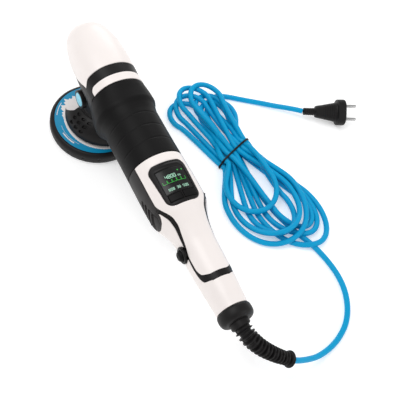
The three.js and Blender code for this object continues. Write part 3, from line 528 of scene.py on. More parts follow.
along = np.unique(np.concatenate([np.linspace(0, PLUG_LENGTH, 180), [row[0] for row in PLUG_ROWS]]))
wide, tall, square = smooth_through(PLUG_ROWS, along)
ribs = np.where((along > 2) & (along < 16), 0.45 * (np.cos(along * 2 * np.pi / 2.8) < 0), 0)
grooves = np.where((along > 29) & (along < 46), 0.35 * (np.cos(along * 2 * np.pi / 3.4) > 0.55), 0)
angle = np.linspace(0, 2 * np.pi, PLUG_SIDES, endpoint=False)
waist = 1 - np.outer((along > 50) * 0.1, np.abs(np.sin(angle)) ** 6)
side, up = squared_circle(angle, square[:, None])
local = np.stack([(wide - ribs - grooves)[:, None] * side, (tall - ribs - grooves)[:, None] * up * waist,
                  np.broadcast_to(along[:, None], side.shape)], axis=-1)
start = np.zeros((1, PLUG_SIDES, 3))
local = np.concatenate([start, local, start + [0, 0, PLUG_LENGTH]])
plug = piece("mains_plug", [PLUG_PLACE + local @ plug_frame()], RUBBER, wrap=True,
             stands_for=("plug_body",))

# %% [markdown]
# The pins are turned: a profile of radius and height carried round an axis. Rounded corners catch the
# light, so the profile gets them.

# %% The pins
def turned(profile, sides=64):
    """A profile of [radius, height] carried round an upright axis: rows follow the profile."""
    profile = np.asarray(profile, float)
    angle = np.linspace(0, 2 * np.pi, sides, endpoint=False)
    x = profile[:, :1] * np.cos(angle)
    y = profile[:, :1] * np.sin(angle)
    return np.stack([x, y, np.broadcast_to(profile[:, 1:], x.shape)], axis=-1)


def rounded(profile, radius, count=5):
    """The same profile with every corner replaced by an arc-like curve of that size."""
    p = np.asarray(profile, float)
    out = [p[:1]]
    for before, here, after in zip(p[:-2], p[1:-1], p[2:]):
        size = min(radius, 0.45 * np.linalg.norm(here - before), 0.45 * np.linalg.norm(after - here))
        a, b = here + unit(before - here) * size, here + unit(after - here) * size
        t = np.linspace(0, 1, count)[:, None]
        out.append(a * (1 - t) ** 2 + 2 * here * t * (1 - t) + b * t**2)
    return np.concatenate(out + [p[-1:]])


for side, name in ((1, "left"), (-1, "right")):
    root, tip = PLUG_LENGTH + 0.1, PLUG_LENGTH + 19
    pin = turned(rounded([(0, root), (2.4, root), (2.4, tip - 1.6), (1.3, tip), (0, tip)], 0.6), 24)
    pin = pin + [side * PIN_SPACING / 2, 0, 0]
    piece(f"pin_{name}", [PLUG_PLACE + pin @ plug_frame()], CHROME, wrap=True,
          stands_for=(f"plug_pin_{name}",))
print("plug of", PLUG_LENGTH, "mm")

# %% [markdown]
# The machine's outside is one flowing body, cut into shells. Its cross-section changes along the machine:
# each row gives a station, the height of its centre, the half width, the rise to the top, the drop to the
# bottom, and how square it is. Every shell below is a region of this one surface, so they all line up,
# which shells that were modelled one by one would not.

# %% The outer surface
SECTIONS = [
    (-343, 84, 20, 20, 20, 2), (-325, 84.6, 21, 21, 21, 2), (-300, 85, 22.2, 22.2, 22.2, 2),
    (-275, 85.5, 23, 22.6, 23, 2), (-256, 86, 23.3, 23.4, 23.2, 2), (-246, 86.5, 24, 25, 24.5, 2),
    (-236, 87, 25.5, 27.3, 26.5, 2), (-225, 87.5, 28.5, 30.8, 31, 2.1), (-215, 88, 33, 33.8, 35, 2.15),
    (-204, 88, 36, 35.5, 37, 2.2), (-180, 88, 36.5, 36, 37, 2.2), (-150, 88, 36.5, 36, 37, 2.1),
    (-110, 88, 36.5, 36, 37, 2), (-74, 88, 36.5, 36.5, 37, 2), (-64, 88, 37.8, 37.5, 41, 2.1),
    (-55, 88, 41, 39.5, 47, 2.2), (-45, 89, 40.3, 38.8, 47, 2.2), (-30, 92, 37.8, 37.3, 41, 2.15),
    (-12, 95, 37, 36, 37, 2.1), (5, 97, 37, 35, 36, 2.2), (25, 99, 36.5, 33.5, 35.5, 2.2),
    (45, 100, 35, 31.5, 34, 2.2), (60, 101, 32, 29, 31.5, 2.1), (70, 102, 28.5, 25, 27.5, 2.1),
    (78, 103, 22.5, 19, 21.5, 2), (82.5, 104, 14.5, 11.5, 13.5, 2), (84.5, 104, 5, 4, 5, 2)]


# The rounding of a region's edges is worked out as if every region were this long and this far round.
REGION_SIZE = (60.0, 70.0)


def skin(x, angle, inset=0.0):
    """A point of the body: side = |cos a|^(2/q) of the half width, up = |sin a|^(2/q) of rise or drop."""
    height, half, rise, drop, square = smooth_through(SECTIONS, x)
    side, up = squared_circle(angle, square)
    tall = np.where(up > 0, rise, drop) - inset
    across = np.maximum(half - inset, 0.0) * side - OFFSET
    return np.stack([np.broadcast_to(x, across.shape), across, height + tall * up], axis=-1)


def angle_at(x, z):
    """The angle on the left side where the body's skin is at height z: the inverse of skin's up."""
    height, _, rise, drop, square = smooth_through(SECTIONS, x)
    up = np.clip((z - height) / np.where(z > height, rise, drop), -1, 1)
    return np.arcsin(np.sign(up) * np.abs(up) ** (square / 2))


def top_height(x, y):
    """Height of the body's top above a plan point: rise times (1 - |y / half width|^q)^(1/q)."""
    height, half, rise, _, square = smooth_through(SECTIONS, x)
    part = np.clip(np.abs(y + OFFSET) / half, 0, 0.999)
    return height + rise * (1 - part**square) ** (1 / square)

# %% [markdown]
# A shell is a region of the body: a grid of stations and angles between four edges. Real mouldings have
# rounded edges, so the surface falls away near each edge, and extra rows stand there to show the curve.

# %% Regions of the surface
def paced(count, length, edges=(True, True), radius=0.8):
    """Places from 0 to 1 with extra ones close to each rounded edge of a side that long."""
    even = np.linspace(0, 1, count)
    close = np.array([0.04, 0.12, 0.25, 0.45, 0.7, 1.0]) * radius / length
    extra = [close] if edges[0] else []
    extra += [1 - close] if edges[1] else []
    inner = even[(even > close[-1] * edges[0]) & (even < 1 - close[-1] * edges[1])]
    return np.unique(np.concatenate([[0, 1], inner] + extra))


def roll(distance, radius=0.8):
    """How far a rounded edge falls away: r - sqrt(r^2 - (r - d)^2) within r of the edge."""
    d = np.clip(distance, 0, radius)
    return radius - np.sqrt(np.maximum(radius**2 - (radius - d) ** 2, 0))


def value_at(value, places):
    """A plain value, or what a function gives at those places."""
    return value(places) if callable(value) else value


def region(back, front, low, high, size, inset=0.0, edges=(True, True, True, True), relief=None):
    """A region of the skin. Rows run from back(v) to front(v), columns from angle low(x) to high(x).

    edges says which of its four sides, back, front, low and high, are rounded. relief(x, y, z) gives a
    depth that is pressed in.
    """
    length, around = REGION_SIZE
    u = paced(size[0], length, edges[:2])[:, None]
    v = paced(size[1], around, edges[2:])[None, :]
    start, end = value_at(back, v), value_at(front, v)
    x = start + (end - start) * u + 0 * v
    first, last = value_at(low, x), value_at(high, x)
    angle = first + (last - first) * v
    fall = np.zeros_like(x)
    for near, given, scale in ((u, edges[0], length), (1 - u, edges[1], length),
                               (v, edges[2], around), (1 - v, edges[3], around)):
        if given:
            fall = np.maximum(fall, roll(near * scale))
    if relief is not None:
        where = skin(x, angle)
        fall = fall + relief(where[..., 0], where[..., 1] + OFFSET, where[..., 2])
    return skin(x, angle, inset + fall)


def edge_line(points):
    """Height as a smooth function of the station, through points given from back to front."""
    return lambda x: smooth_through(points, x)[0]


print("body from", SECTIONS[0][0], "to", SECTIONS[-1][0], "mm")

# %% [markdown]
# The head is a white hood over a black gear housing. The hood's lower edge rises towards the back and ends
# in a point on each side, and its back edge runs over the top. The housing shows as a dark line below it,
# as the arch behind it, and as the round neck with a boss on each side for a second handle.

# %% The head
HOOD_SIZE = (90, 110)
hood_edge = edge_line([(-10.5, 104), (5, 98), (22, 91), (40, 87.6), (60, 87), (90, 87)])


def hood_back(v):
    """Station of the hood's back edge: its points lie back, its middle is straight."""
    up = np.minimum(v, 1 - v) * 2
    return smooth_through([(0, -10.5), (0.09, -9), (0.3, -3.8), (1, HOOD_BACK)], up)[0]


def nose_points(grid):
    """Closes the nose: the last row is drawn together into one point on the nose."""
    tip = np.array([NOSE + 0.25, -OFFSET, 104.0])
    near = tip + (grid[-1:] - tip) * [0, 0.5, 0.5] + [-0.1, 0, 0]
    return np.concatenate([grid, near, np.broadcast_to(tip, near.shape)])


def hood_grid(rows, columns):
    """The hood from its back edge to the nose: rows crowd together where the surface turns down."""
    length, around = HOOD_SIZE
    u = paced(rows, length, (True, False))[:, None]
    v = paced(columns, around)[None, :]
    start = hood_back(v)
    x = start + (NOSE - start) * (1 - (1 - u) ** 2.4)
    low = angle_at(x, hood_edge(x))
    fall = np.maximum(roll(u * length), roll(np.minimum(v, 1 - v) * around) * (low > -1.45))
    return nose_points(skin(x, low + (np.pi - 2 * low) * v, fall))


piece("hood", [hood_grid(90, 96)], WHITE, wall=2.0, stands_for=("head_cover",))

# %% [markdown]
# Below the hood is the gear housing, and behind it the arch. Both are regions of the same body, so their
# edges follow the hood's with an even gap. The white stripe is laid over the arch, a hair proud of it.

# %% The gear housing, the arch and the stripe
lower_edge = edge_line([(-29.6, 100.6), (-18, 101.5), (-10.8, 103.6), (5, 97.6), (22, 90.6), (40, 87.2),
                        (60, 86.6), (83.5, 86.6)])
lower_head = region(-29.6, 83.5, lambda x: -np.pi - angle_at(x, lower_edge(x)),
                    lambda x: angle_at(x, lower_edge(x)), (80, 100), inset=0.5,
                    edges=(False, False, False, False))
arch = region(-29.6, lambda v: hood_back(v) - GAP, lambda x: angle_at(x, 101.0),
              lambda x: np.pi - angle_at(x, 101.0), (24, 90))
piece("gear_case_skin", [lower_head], BLACK, wall=1.6, stands_for=("gear_housing",))
piece("arch_band", [arch], BLACK, wall=1.8)


def stripe_front(v):
    """Station of the stripe's front edge: straight, with a quarter circle at each low end."""
    away = 1 - np.clip(np.minimum(v, 1 - v) / 0.1, 0, 1)
    return STRIPE[1] - 0.5 - 7.5 * (1 - np.sqrt(1 - away**2))


stripe = region(STRIPE[0], stripe_front, lambda x: angle_at(x, 110.5), lambda x: np.pi - angle_at(x, 110.5),
                (24, 120), inset=-0.25)
piece("stripe", [stripe], WHITE, wall=0.9, stands_for=("head_stripe",))

# %% [markdown]
# The neck, the bosses for a second handle and their blue caps are turned parts: each is a profile carried
# round an axis, as a lathe would cut it.

# %% The neck and the bosses
NECK = [(20, 46.6), (31, 46.6), (33.4, 47.6), (33.4, 50.2), (32.2, 50.8), (32.2, 62), (33.4, 63), (33.4, 84),
        (20, 84), (20, 46.6)]
neck = turned(rounded(NECK, 0.7), 96) + [0, -OFFSET, 0]
piece("neck", [neck], BLACK, wrap=True)

BOSS = np.array([3.0, -OFFSET, 67.0])


def crosswise(profile, centre, side, sides=64):
    """A turned piece about a crosswise axis: its height becomes the distance out to that side."""
    made = turned(profile, sides)
    return centre + np.stack([made[..., 0], side * made[..., 2], made[..., 1]], axis=-1)


BOSS_RING = [(0, 24), (14.2, 24), (13.2, 30), (12.4, 33), (12.4, 38), (10, 38), (9.8, 37.4), (9.8, 36.2),
             (0, 36.2)]
BOSS_CAP = [(0, 36.4), (9.4, 36.4), (9.4, 37.9), (8.7, 38.5), (5, 38.75), (1.6, 38.8), (1.2, 38.2),
            (0, 38.1)]
for side, name in ((1, "left"), (-1, "right")):
    piece(f"boss_{name}", [crosswise(rounded(BOSS_RING, 0.6), BOSS, side)], BLACK, wrap=True)
    piece(f"boss_plug_{name}", [crosswise(rounded(BOSS_CAP, 0.5), BOSS, side)], SKY, wrap=True,
          stands_for=(f"boss_cap_{name}",))

# %% [markdown]
# The front grip is soft rubber pulled over the motor's housing. It swells into a collar at the front, and
# three shallow grooves cross its top, where the palm rests. The grooves could be cut with a boolean, but
# pressing the surface in keeps the mesh even and the edges soft.

# %% The front grip
GROOVES = (-79, -98, -119)


def grip_relief(x, y, z):
    """Three bowed grooves across the top, each fading out down the sides, and a seam low on each side."""
    depth = np.zeros_like(x)
    for groove in GROOVES:
        bowed = groove - 2.5 * (y / 30) ** 2
        depth += 0.42 * np.exp(-(((x - bowed) / 0.75) ** 2)) * np.clip((z - 96) / 12, 0, 1)
    seam = 62 + 14 * np.clip((x + 60) / 40, -1, 1)
    depth += 0.5 * np.exp(-(((z - seam) / 0.6) ** 2)) * (x > -80) * (x < -34)
    return depth


grip = region(*GRIP, -np.pi / 2, 1.5 * np.pi, (230, 130), relief=grip_relief,
              edges=(True, True, False, False))
piece("palm_grip", [grip], SOFT, wall=2.6, stands_for=("front_grip",))

# %% [markdown]
# Behind the grip, the casing is black below and white above, and the seam between them is a long S. The
# black side casings end in a round lobe with slanted air slots. Slots and panel lines are pressed into the
# surface: each is a distance from a line, turned into a depth.

# %% Seam, casings and handle
SEAM = [(-300.3, 102.5), (-295, 97.8), (-285, 95.2), (-272, 95.6), (-257, 99.2), (-242, 104), (-228, 109.6),
        (-218, 112), (-208, 110.2), (-198, 107.2), (-172, 107.4), (-142.4, 106.8)]
STRIP = [(-307.7, 104), (-304, 96.4), (-296, 93.4), (-285, 92.6), (-272, 93.7), (-257, 96.6),
         (-242, 100.4), (-228, 105.2), (-218, 107.6), (-210, 106.4), (-205, 103)]
LOBE = [(20, -202), (63, -208), (74, -216.5), (86, -220), (96, -218.5), (103.6, -213), (106.4, -206),
        (130, -206)]
STRIP_FRONT = -206
seam = edge_line(SEAM)
strip = edge_line(STRIP)
AIR_SLOTS = [(-186, 76, 27), (-193.8, 77.5, 30), (-201.3, 79.5, 28), (-208.3, 83, 24)]
PANEL_LINE = [(-134, 95), (-142, 89), (-155, 80), (-169, 78), (-182, 88), (-197, 96.5), (-210, 100.4),
              (-217, 95.3), (-218, 80), (-213, 68), (-205, 60)]

# %% [markdown]
# The slots follow short chains of lines. Cutting them with a boolean would leave long thin faces, and
# pressing them in keeps their ends round and their sides soft. The right casing is the left one mirrored.

# %% The side casings
def distance_to(points, x, z):
    """Distance in the side view from each point of a surface to a chain of straight lines."""
    best = np.full(x.shape, 1e9)
    for (x0, z0), (x1, z1) in zip(points[:-1], points[1:]):
        dx, dz = x1 - x0, z1 - z0
        along = np.clip(((x - x0) * dx + (z - z0) * dz) / (dx**2 + dz**2), 0, 1)
        best = np.minimum(best, np.hypot(x - x0 - along * dx, z - z0 - along * dz))
    return best


def lobe_end(gap, low, high):
    """Station of the lobe's edge for each column: found by sliding back until height and edge agree."""
    by_height = edge_line(LOBE)

    def station(v):
        x = np.full(v.shape, -210.0)
        for _ in range(12):
            angle = low(x) + (high(x) - low(x)) * v
            x = 0.5 * x + 0.5 * (by_height(skin(x, angle)[..., 2]) - gap)
        return x
    return station


def casing_relief(x, y, z):
    """Four slanted slots with round ends and steep sides, and the fine line of the inner panel."""
    depth = np.zeros_like(x)
    for middle, height, long in AIR_SLOTS:
        lean = 0.42 * long
        chain = [(middle - lean / 2, height - long / 2), (middle - 2.2, height),
                 (middle + lean / 2, height + long / 2)]
        depth = np.maximum(depth, 4.8 * np.clip((2.35 - distance_to(chain, x, z)) / 0.8, 0, 1))
    line = 0.5 * np.exp(-((distance_to(PANEL_LINE, x, z) / 0.55) ** 2))
    return np.maximum(depth, line)


def casing_low(x):
    return -np.pi / 2 + 0.004 + 0 * x


def casing_high(x):
    edge = np.where(x < STRIP_FRONT, 106.0, seam(np.maximum(x, STRIP_FRONT)) - GAP)
    return angle_at(x, edge)


def mirrored(grid):
    """The same grid on the other side of the machine's middle plane."""
    return (grid + [0, OFFSET, 0]) * [1, -1, 1] - [0, OFFSET, 0]


casing = region(lobe_end(0, casing_low, casing_high), GRIP[0] - GAP, casing_low, casing_high, (150, 150),
                relief=casing_relief, edges=(True, True, False, True))
piece("side_casing_left", [casing], CASING, wall=2.2, stands_for=("rear_casing_left",))
piece("side_casing_right", [mirrored(casing)], CASING, wall=2.2, flip=True,
      stands_for=("rear_casing_right",))
print("casings and", len(AIR_SLOTS), "slots a side")

# %% [markdown]
# The white upper shell runs from the grip to the ring round the handle, down to the seam. It is pressed in
# under the control panel. A black strip follows the seam, and joins the ring. The handle is white below.
# The lock's well and the trigger's slot are pressed into it.

# %% Upper shell, trim and handle
LOCK = (-261.0, 88.5)
TRIGGER_SLOT = (-294.6, -234.4, 9.4)
PANEL = (-212.3, -155.4)
PANEL_CORNER = 9.5


def panel_half(x):
    """Half the panel's width at a station: it narrows to the rear, and both ends are rounded."""
    back, front = PANEL
    width = 21.2 + 3.2 * (x - back) / (front - back)
    corner = PANEL_CORNER - np.minimum(np.minimum(x - back, front - x), PANEL_CORNER)
    return width - PANEL_CORNER + np.sqrt(np.maximum(PANEL_CORNER**2 - corner**2, 0.0))


def pocket(inside, depth, soft=0.7):
    """A flat-bottomed pocket: full depth where inside is over soft, none where it is under 0."""
    return depth * np.clip(inside / soft, 0, 1)


def shell_relief(x, y, z):
    near = np.clip(x, PANEL[0], PANEL[1])
    inside = np.minimum(panel_half(near) - np.abs(y), np.minimum(x - PANEL[0], PANEL[1] - x))
    return pocket(inside + 0.35, 3.2)


def lock_relief(x, y, z):
    inside = (10.2 - np.hypot(x - LOCK[0], z - LOCK[1])) * (y > 0)
    return pocket(inside, 8.0, 0.9)


def handle_relief(x, y, z):
    back, front, half = TRIGGER_SLOT
    inside = np.minimum(np.minimum(x - back, front - x), half - np.abs(y)) * (z < 80)
    return lock_relief(x, y, z) + pocket(inside, 20.0, 0.8)


def right_drop(x):
    """How much lower the seam runs on the right side, along the handle."""
    return 3.2 * np.clip((-218 - x) / 14, 0, 1) * np.clip((x + 300) / 10, 0, 1)


def angle_low(x):
    return angle_at(x, seam(x))


def angle_high(x):
    return np.pi - angle_at(x, seam(x) - right_drop(x))


def shell_back(v):
    """Station of the shell's rear edge: straight, with a quarter circle at each corner."""
    away = 1 - np.clip(np.minimum(v, 1 - v) / 0.16, 0, 1)
    return BAND[1] + 7.0 * (1 - np.sqrt(1 - away**2))


top = region(shell_back, GRIP[0] - GAP, angle_low, angle_high, (230, 150), relief=shell_relief)
piece("top_shell", [top], WHITE, wall=1.8, stands_for=("upper_shell",))

# %% [markdown]
# The strip under the seam and the ring round the handle are drawn as three regions that meet. The strip
# drops a little lower on the right side.

# %% The strip and the ring
def trim(lower, relief):
    """The strip under the seam on the left side. lower is 1 where it drops as it does on the right."""
    return region(BAND[1] - GAP, STRIP_FRONT, lambda x: angle_at(x, strip(x) - lower * right_drop(x)),
                  lambda x: angle_at(x, seam(x) - lower * right_drop(x) - GAP), (190, 16),
                  relief=relief, edges=(False, True, True, True))


band = region(BAND[0], BAND[1] + 9, lambda x: angle_at(x, strip(x)), lambda x: np.pi - angle_at(x, strip(x)),
              (24, 110), inset=0.2, edges=(True, False, False, False))
piece("trim_left", [trim(0, lock_relief)], BLACK, wall=1.8, stands_for=("trim_strip",))
piece("trim_right", [mirrored(trim(1, None))], BLACK, wall=1.8, flip=True)
piece("trim_ring", [band], BLACK, wall=1.8)

# %% [markdown]
# The handle is two regions: ahead of the ring it follows the strip and the casings' lobe, and behind the
# ring it is a plain sleeve.

# %% The handle
def handle_side(x):
    return angle_at(x, strip(np.clip(x, BAND[0], STRIP_FRONT)) - GAP)


def handle_far_side(x):
    return -np.pi - handle_side(x)


handle = region(BAND[0] - GAP, lobe_end(-GAP, handle_far_side, handle_side), handle_far_side, handle_side,
                (190, 200), relief=handle_relief, edges=(False, True, True, True))
sleeve = region(CAP[1] + GAP, BAND[0] - GAP, -np.pi / 2, 1.5 * np.pi, (40, 120),
                edges=(True, False, False, False))
piece("handle_shell", [handle], WHITE, wall=2.0, stands_for=("handle_body",))
piece("handle_sleeve", [sleeve], WHITE, wall=2.0)
print("handle from", CAP[1], "to", LOBE[0][1], "mm")

# %% [markdown]
# The end cap is a soft dark ring. Out of it comes the strain relief: a collar, then ribs that get smaller
# towards a last flange. Between the ribs, short bridges stand at alternate quarters, so it can bend.

# %% End cap and strain relief
CAP_PROFILE = [(11.4, -343.4), (20.3, -343.4), (21.2, -345.5), (21.6, -350), (21.0, -354.5), (18.8, -357.8),
               (15, -359), (11.4, -358.6)]
RELIEF = [(-346, -10.5, 84), (-364, -10.5, 83.5), (-378, -14, 79.5), (-391, -24, 70.5), (-401, -38, 59),
          (-408, -52, 48), (-411.5, -60.5, 42)]
RELIEF_STEP = 0.3
RELIEF_SIDES = 72
COLLAR_LENGTH = 18.5
RIBS = 15


def lengthwise(profile, height, sides=96):
    """A turned piece about a lengthwise axis at that height: its height becomes the station."""
    made = turned(profile, sides)
    return np.stack([made[..., 2], made[..., 0] - OFFSET, made[..., 1] + height], axis=-1)


piece("rear_cap", [lengthwise(rounded(CAP_PROFILE, 3.0), HANDLE_HEIGHT)], RUBBER, wrap=True,
      stands_for=("end_cap",))


def relief_radius(count):
    """Radius at each step and each side: the crest where the wave is 1, else the groove and its bridges."""
    run = np.arange(count)[:, None] * RELIEF_STEP
    angle = np.linspace(0, 2 * np.pi, RELIEF_SIDES, endpoint=False)[None, :]
    part = (run - COLLAR_LENGTH) / (run[-1] - 2 - COLLAR_LENGTH)
    inside = np.clip(part, 0, 1)
    crest = 11.3 - 2.9 * inside
    phase = inside * RIBS
    wave = np.clip(1.3 * np.cos(2 * np.pi * phase) - 0.15, 0, 1)
    turn = np.floor(phase) * np.pi / 2 + np.pi / 4
    bridge = np.clip(3 * np.cos(2 * (angle - turn)) - 1, 0, 1)
    core = 5.2 + 2.6 * (1 - inside)
    groove = core + 0.42 * (crest - core) * bridge
    radius = np.where(part < 0, 12.0, groove + (crest - groove) * wave)
    flare = np.clip((run - run[-1] + 1.6) / 1.2, 0, 1)
    return radius + (10.4 - radius) * flare**1.5


relief_line = through(RELIEF, RELIEF_STEP)
relief = sweep(relief_line, relief_radius(len(relief_line)), RELIEF_SIDES)
piece("ribbed_relief", [relief], RUBBER, wrap=True, stands_for=("strain_relief",))
print("relief of", round(length_of(relief_line)), "mm")

# %% [markdown]
# The control panel is a pad that follows the shell's curve. It has a ridge at the front, a window for the
# screen, and a well for each of the two buttons. It is a height over the plan, so every well is one more
# term in that height, where a boolean would leave ragged faces.

# %% The control panel
WINDOW = (-197.6, -165.0, -18.2, 18.2)
KEYS = {"left": (-208.0, -199.0, 1.2, 17.2), "right": (-208.0, -199.0, -17.2, -1.2)}
KEY_BODY = {"left": "speed_up", "right": "speed_down"}


def pad(back, front, half, lift, skirt, size, middle=0.0):
    """A sheet over the plan, with a skirt: y = middle + v * half(x), height = body's top + lift(x, y)."""
    x = np.linspace(back, front, size[0])[:, None]
    v = np.linspace(-1, 1, size[1])[None, :]
    y = middle + v * value_at(half, x) + 0 * x
    x = x + 0 * v
    top = np.stack([x, y - OFFSET, top_height(x, y - OFFSET) + lift(x, y)], axis=-1)
    ring = np.concatenate([top[:1] - [0, 0, skirt], top, top[-1:] - [0, 0, skirt]])
    return np.concatenate([ring[:, :1] - [0, 0, skirt], ring, ring[:, -1:] - [0, 0, skirt]], axis=1)


def inside_box(x, y, box, grown=0.0):
    """How far inside a box (back, front, low, high) a plan point is, less than 0 outside it."""
    back, front, low, high = box
    return np.minimum(np.minimum(x - back, front - x), np.minimum(y - low, high - y)) + grown


def panel_lift(x, y):
    """A rounded edge, a ridge at the front, the window's step and a well for each key."""
    edge = np.minimum(panel_half(x) - np.abs(y), np.minimum(x - PANEL[0], PANEL[1] - x))
    lift = 0.9 - 0.9 * np.clip(1 - edge / 0.9, 0, 1) ** 2
    lift += 0.7 * np.exp(-(((x + 160.6 + 0.003 * y**2) / 1.2) ** 2)) * np.clip((18 - np.abs(y)) / 4, 0, 1)
    lift -= pocket(inside_box(x, y, WINDOW, 0.4), 1.2, 0.5)
    for key in KEYS.values():
        lift -= pocket(inside_box(x, y, key, 0.5), 2.8, 0.4)
    return lift


def flat_pad(box, height, soft, skirt, size):
    """A pad over a box of the plan, at that height, rounded off by soft towards its edges."""
    back, front, low, high = box

    def lift(x, y):
        return height - soft * np.clip(1 - inside_box(x, y, box) / soft, 0, 1) ** 2
    return pad(back, front, (high - low) / 2, lift, skirt, size, middle=(low + high) / 2)


piece("panel", [pad(*PANEL, panel_half, panel_lift, 1.3, (190, 180))], BLACK, wall=0.7,
      flip=True, stands_for=("display_bezel",))
piece("screen_glass", [flat_pad(WINDOW, 0.2, 0.3, 0.2, (60, 60))], GLOSS, wall=0.2, flip=True,
      stands_for=("display_lens",))
for side, box in KEYS.items():
    piece(f"panel_key_{side}", [flat_pad(box, 1.3, 0.8, 0.7, (40, 64))], SOFT, body=KEY_BODY[side], wall=0.5,
          flip=True, stands_for=(f"speed_button_{side}",))
print("panel with a screen and", len(KEYS), "keys")

# %% [markdown]
# The readout glows: a speed in large pale digits, a short bar, a row of open boxes and a row of small
# digits. Each digit is made of up to seven strokes, and each stroke is a thin flat plate lying on the
# glass. Text objects would bring a font with them, and strokes keep the look of a real display.

# %% The readout
STROKES = {"a": (0, 1, 1, 1), "b": (1, 0.5, 1, 1), "c": (1, 0, 1, 0.5), "d": (0, 0, 1, 0),
           "e": (0, 0, 0, 0.5), "f": (0, 0.5, 0, 1), "g": (0, 0.5, 1, 0.5)}
DIGITS = {"0": "abcdef", "1": "bc", "2": "abged", "3": "abgcd", "4": "fgbc", "5": "afgcd", "6": "afgedc",
          "7": "abc", "8": "abcdefg", "9": "abcdfg", "[": "fbg", " ": ""}


def stroke(place, size, ends, width):
    """A flat plate along one stroke. Right on the screen is -Y, up is +X."""
    start, end = np.array(ends[:2]) * size, np.array(ends[2:]) * size
    along = unit(end - start)
    across = np.array([-along[1], along[0]]) * width / 2
    corners = np.array([[start - across, start + across], [end - across, end + across]])
    x, y = place[0] + corners[..., 1], place[1] - corners[..., 0]
    return np.stack([x, y - OFFSET, top_height(x, y - OFFSET) + 0.32], axis=-1)


def written(text, place, size, step, width):
    """Every stroke of a line of digits that starts at place and moves step to the right each time."""
    return [stroke((place[0], place[1] - k * step), size, STROKES[part], width)
            for k, letter in enumerate(text) for part in DIGITS[letter]]


def glowing(name, colour, strength):
    """A lit finish: the same slightly uneven tint in its base and in its glow."""
    made = Finish(name)
    broad = made.noise(300, detail=2)
    tint = made.mix(broad, shade(colour, 0.85), shade(colour, 1.1))
    made.surface(Base_Color=tint, Emission_Color=tint, Emission_Strength=strength)
    return made.surface(Roughness=0.4)


GREEN_GLOW = glowing("green_readout", (0.03, 0.5, 0.05), 0.28)
PALE_GLOW = glowing("pale_readout", (0.4, 0.75, 0.55), 0.28)
boxes = written("[[[[[", (-188.6, 15.2), (5.2, 8.2), 6.0, 0.32)
bar = [stroke((-170.6, -8.5), (7, 1), STROKES["d"], 1.3)]
piece("readout_boxes", boxes + bar, GREEN_GLOW, wall=0.06, flip=True)
speed = written("4800", (-178.6, 9.6), (2.3, 4.4), 3.6, 0.55)
speed_unit = written("00", (-178.6, -6.4), (1.2, 1.8), 2.0, 0.3)
counts = written("008 30 500", (-194.4, 12.4), (1.5, 3.0), 2.6, 0.4)
piece("readout_digits", speed + speed_unit + counts, PALE_GLOW, wall=0.06, flip=True)

# %% [markdown]
# The trigger hangs in its slot under the handle, and its lock is a round button on the left side, in a
# ring. Both are soft black plastic with rounded edges. The trigger is its side view carried across, and
# drawn in a little at each side, which rounds its edges without a bevel.

# %% Trigger and lock
BELLY = [(-238.2, 62), (-238.6, 49), (-242.5, 45.4), (-250, 48.5), (-262, 55), (-276, 59.2), (-289, 61.2),
         (-292.4, 66)]
TRIGGER_TOP = [(-290.8, 71), (-289.5, 72.8), (-265, 72.9), (-240, 72.9), (-238.5, 71.8)]
HALF_ACROSS = [(8, 0), (8, 0.9), (7.9, 0.94), (7.6, 0.965), (7, 0.985), (6, 0.997)]
TRIGGER_MIDDLE = np.array([-264.0, 65.0])
belly = through(BELLY, 0.8)
outline = np.concatenate([belly, TRIGGER_TOP])
across = np.array([(-y, part) for y, part in HALF_ACROSS] + [(0, 1)] + HALF_ACROSS[::-1])
shape = TRIGGER_MIDDLE + (outline - TRIGGER_MIDDLE) * across[:, 1][:, None, None]
sideways = np.broadcast_to(across[:, :1] - OFFSET, shape.shape[:2])
lever = np.stack([shape[..., 0], sideways, shape[..., 1]], axis=-1)
piece("squeeze_lever", [lever], SOFT, body="trigger_lever", wrap=True, stands_for=("trigger",))

LOCK_PLACE = np.array([LOCK[0], -OFFSET, LOCK[1]])
KNOB = [(0, 20.3), (4, 20.3), (6.8, 20.7), (6.8, 26.2), (6, 28.2), (4.6, 29.3), (2.4, 29.6), (0, 29.4)]
RING = [(7.1, 17), (7.6, 17), (7.6, 23.0), (10.4, 23.2), (10.4, 24.6), (9.6, 25.5), (8.2, 25.6), (7.1, 25.0),
        (7.1, 17)]
piece("lock_knob", [crosswise(rounded(KNOB, 0.8), LOCK_PLACE, 1, 72)], SOFT, body="lock", wrap=True,
      stands_for=("lock_button",))
piece("lock_ring", [crosswise(rounded(RING, 0.4), LOCK_PLACE, 1, 72)], BLACK, wrap=True,
      stands_for=("lock_bezel",))
print("trigger of", len(belly), "belly points")

# %% [markdown]
# The shroud is a dome that is open at the front, with slots in rows on each side to draw air out. Each slot
# is a rounded pit, pressed into the dome: long down the slope and narrow round it, leaning forward.

# %% The shroud
DOME_RUN = 33
DOME = [(0, 52.0, 20.6), (6, 51.8, 24.5), (13, 48.3, 33), (21, 41.2, 40.6), (29, 33.8, 45),
        (DOME_RUN, 31, 46.2)]
VENTS = [(12, 94), (12, 105.5), (12, 117), (18, 93), (18, 106), (18, 119), (24, 94), (24, 109), (24, 124)]


def mouth_at(radius, height):
    """Angle from the front to the mouth's edge: x stays behind a line that slopes down forward."""
    limit = np.where(height > 40, 8.0, 8.0 + (40 - height) * 22 / 21)
    return np.arccos(np.clip(limit / radius, -1, 1))


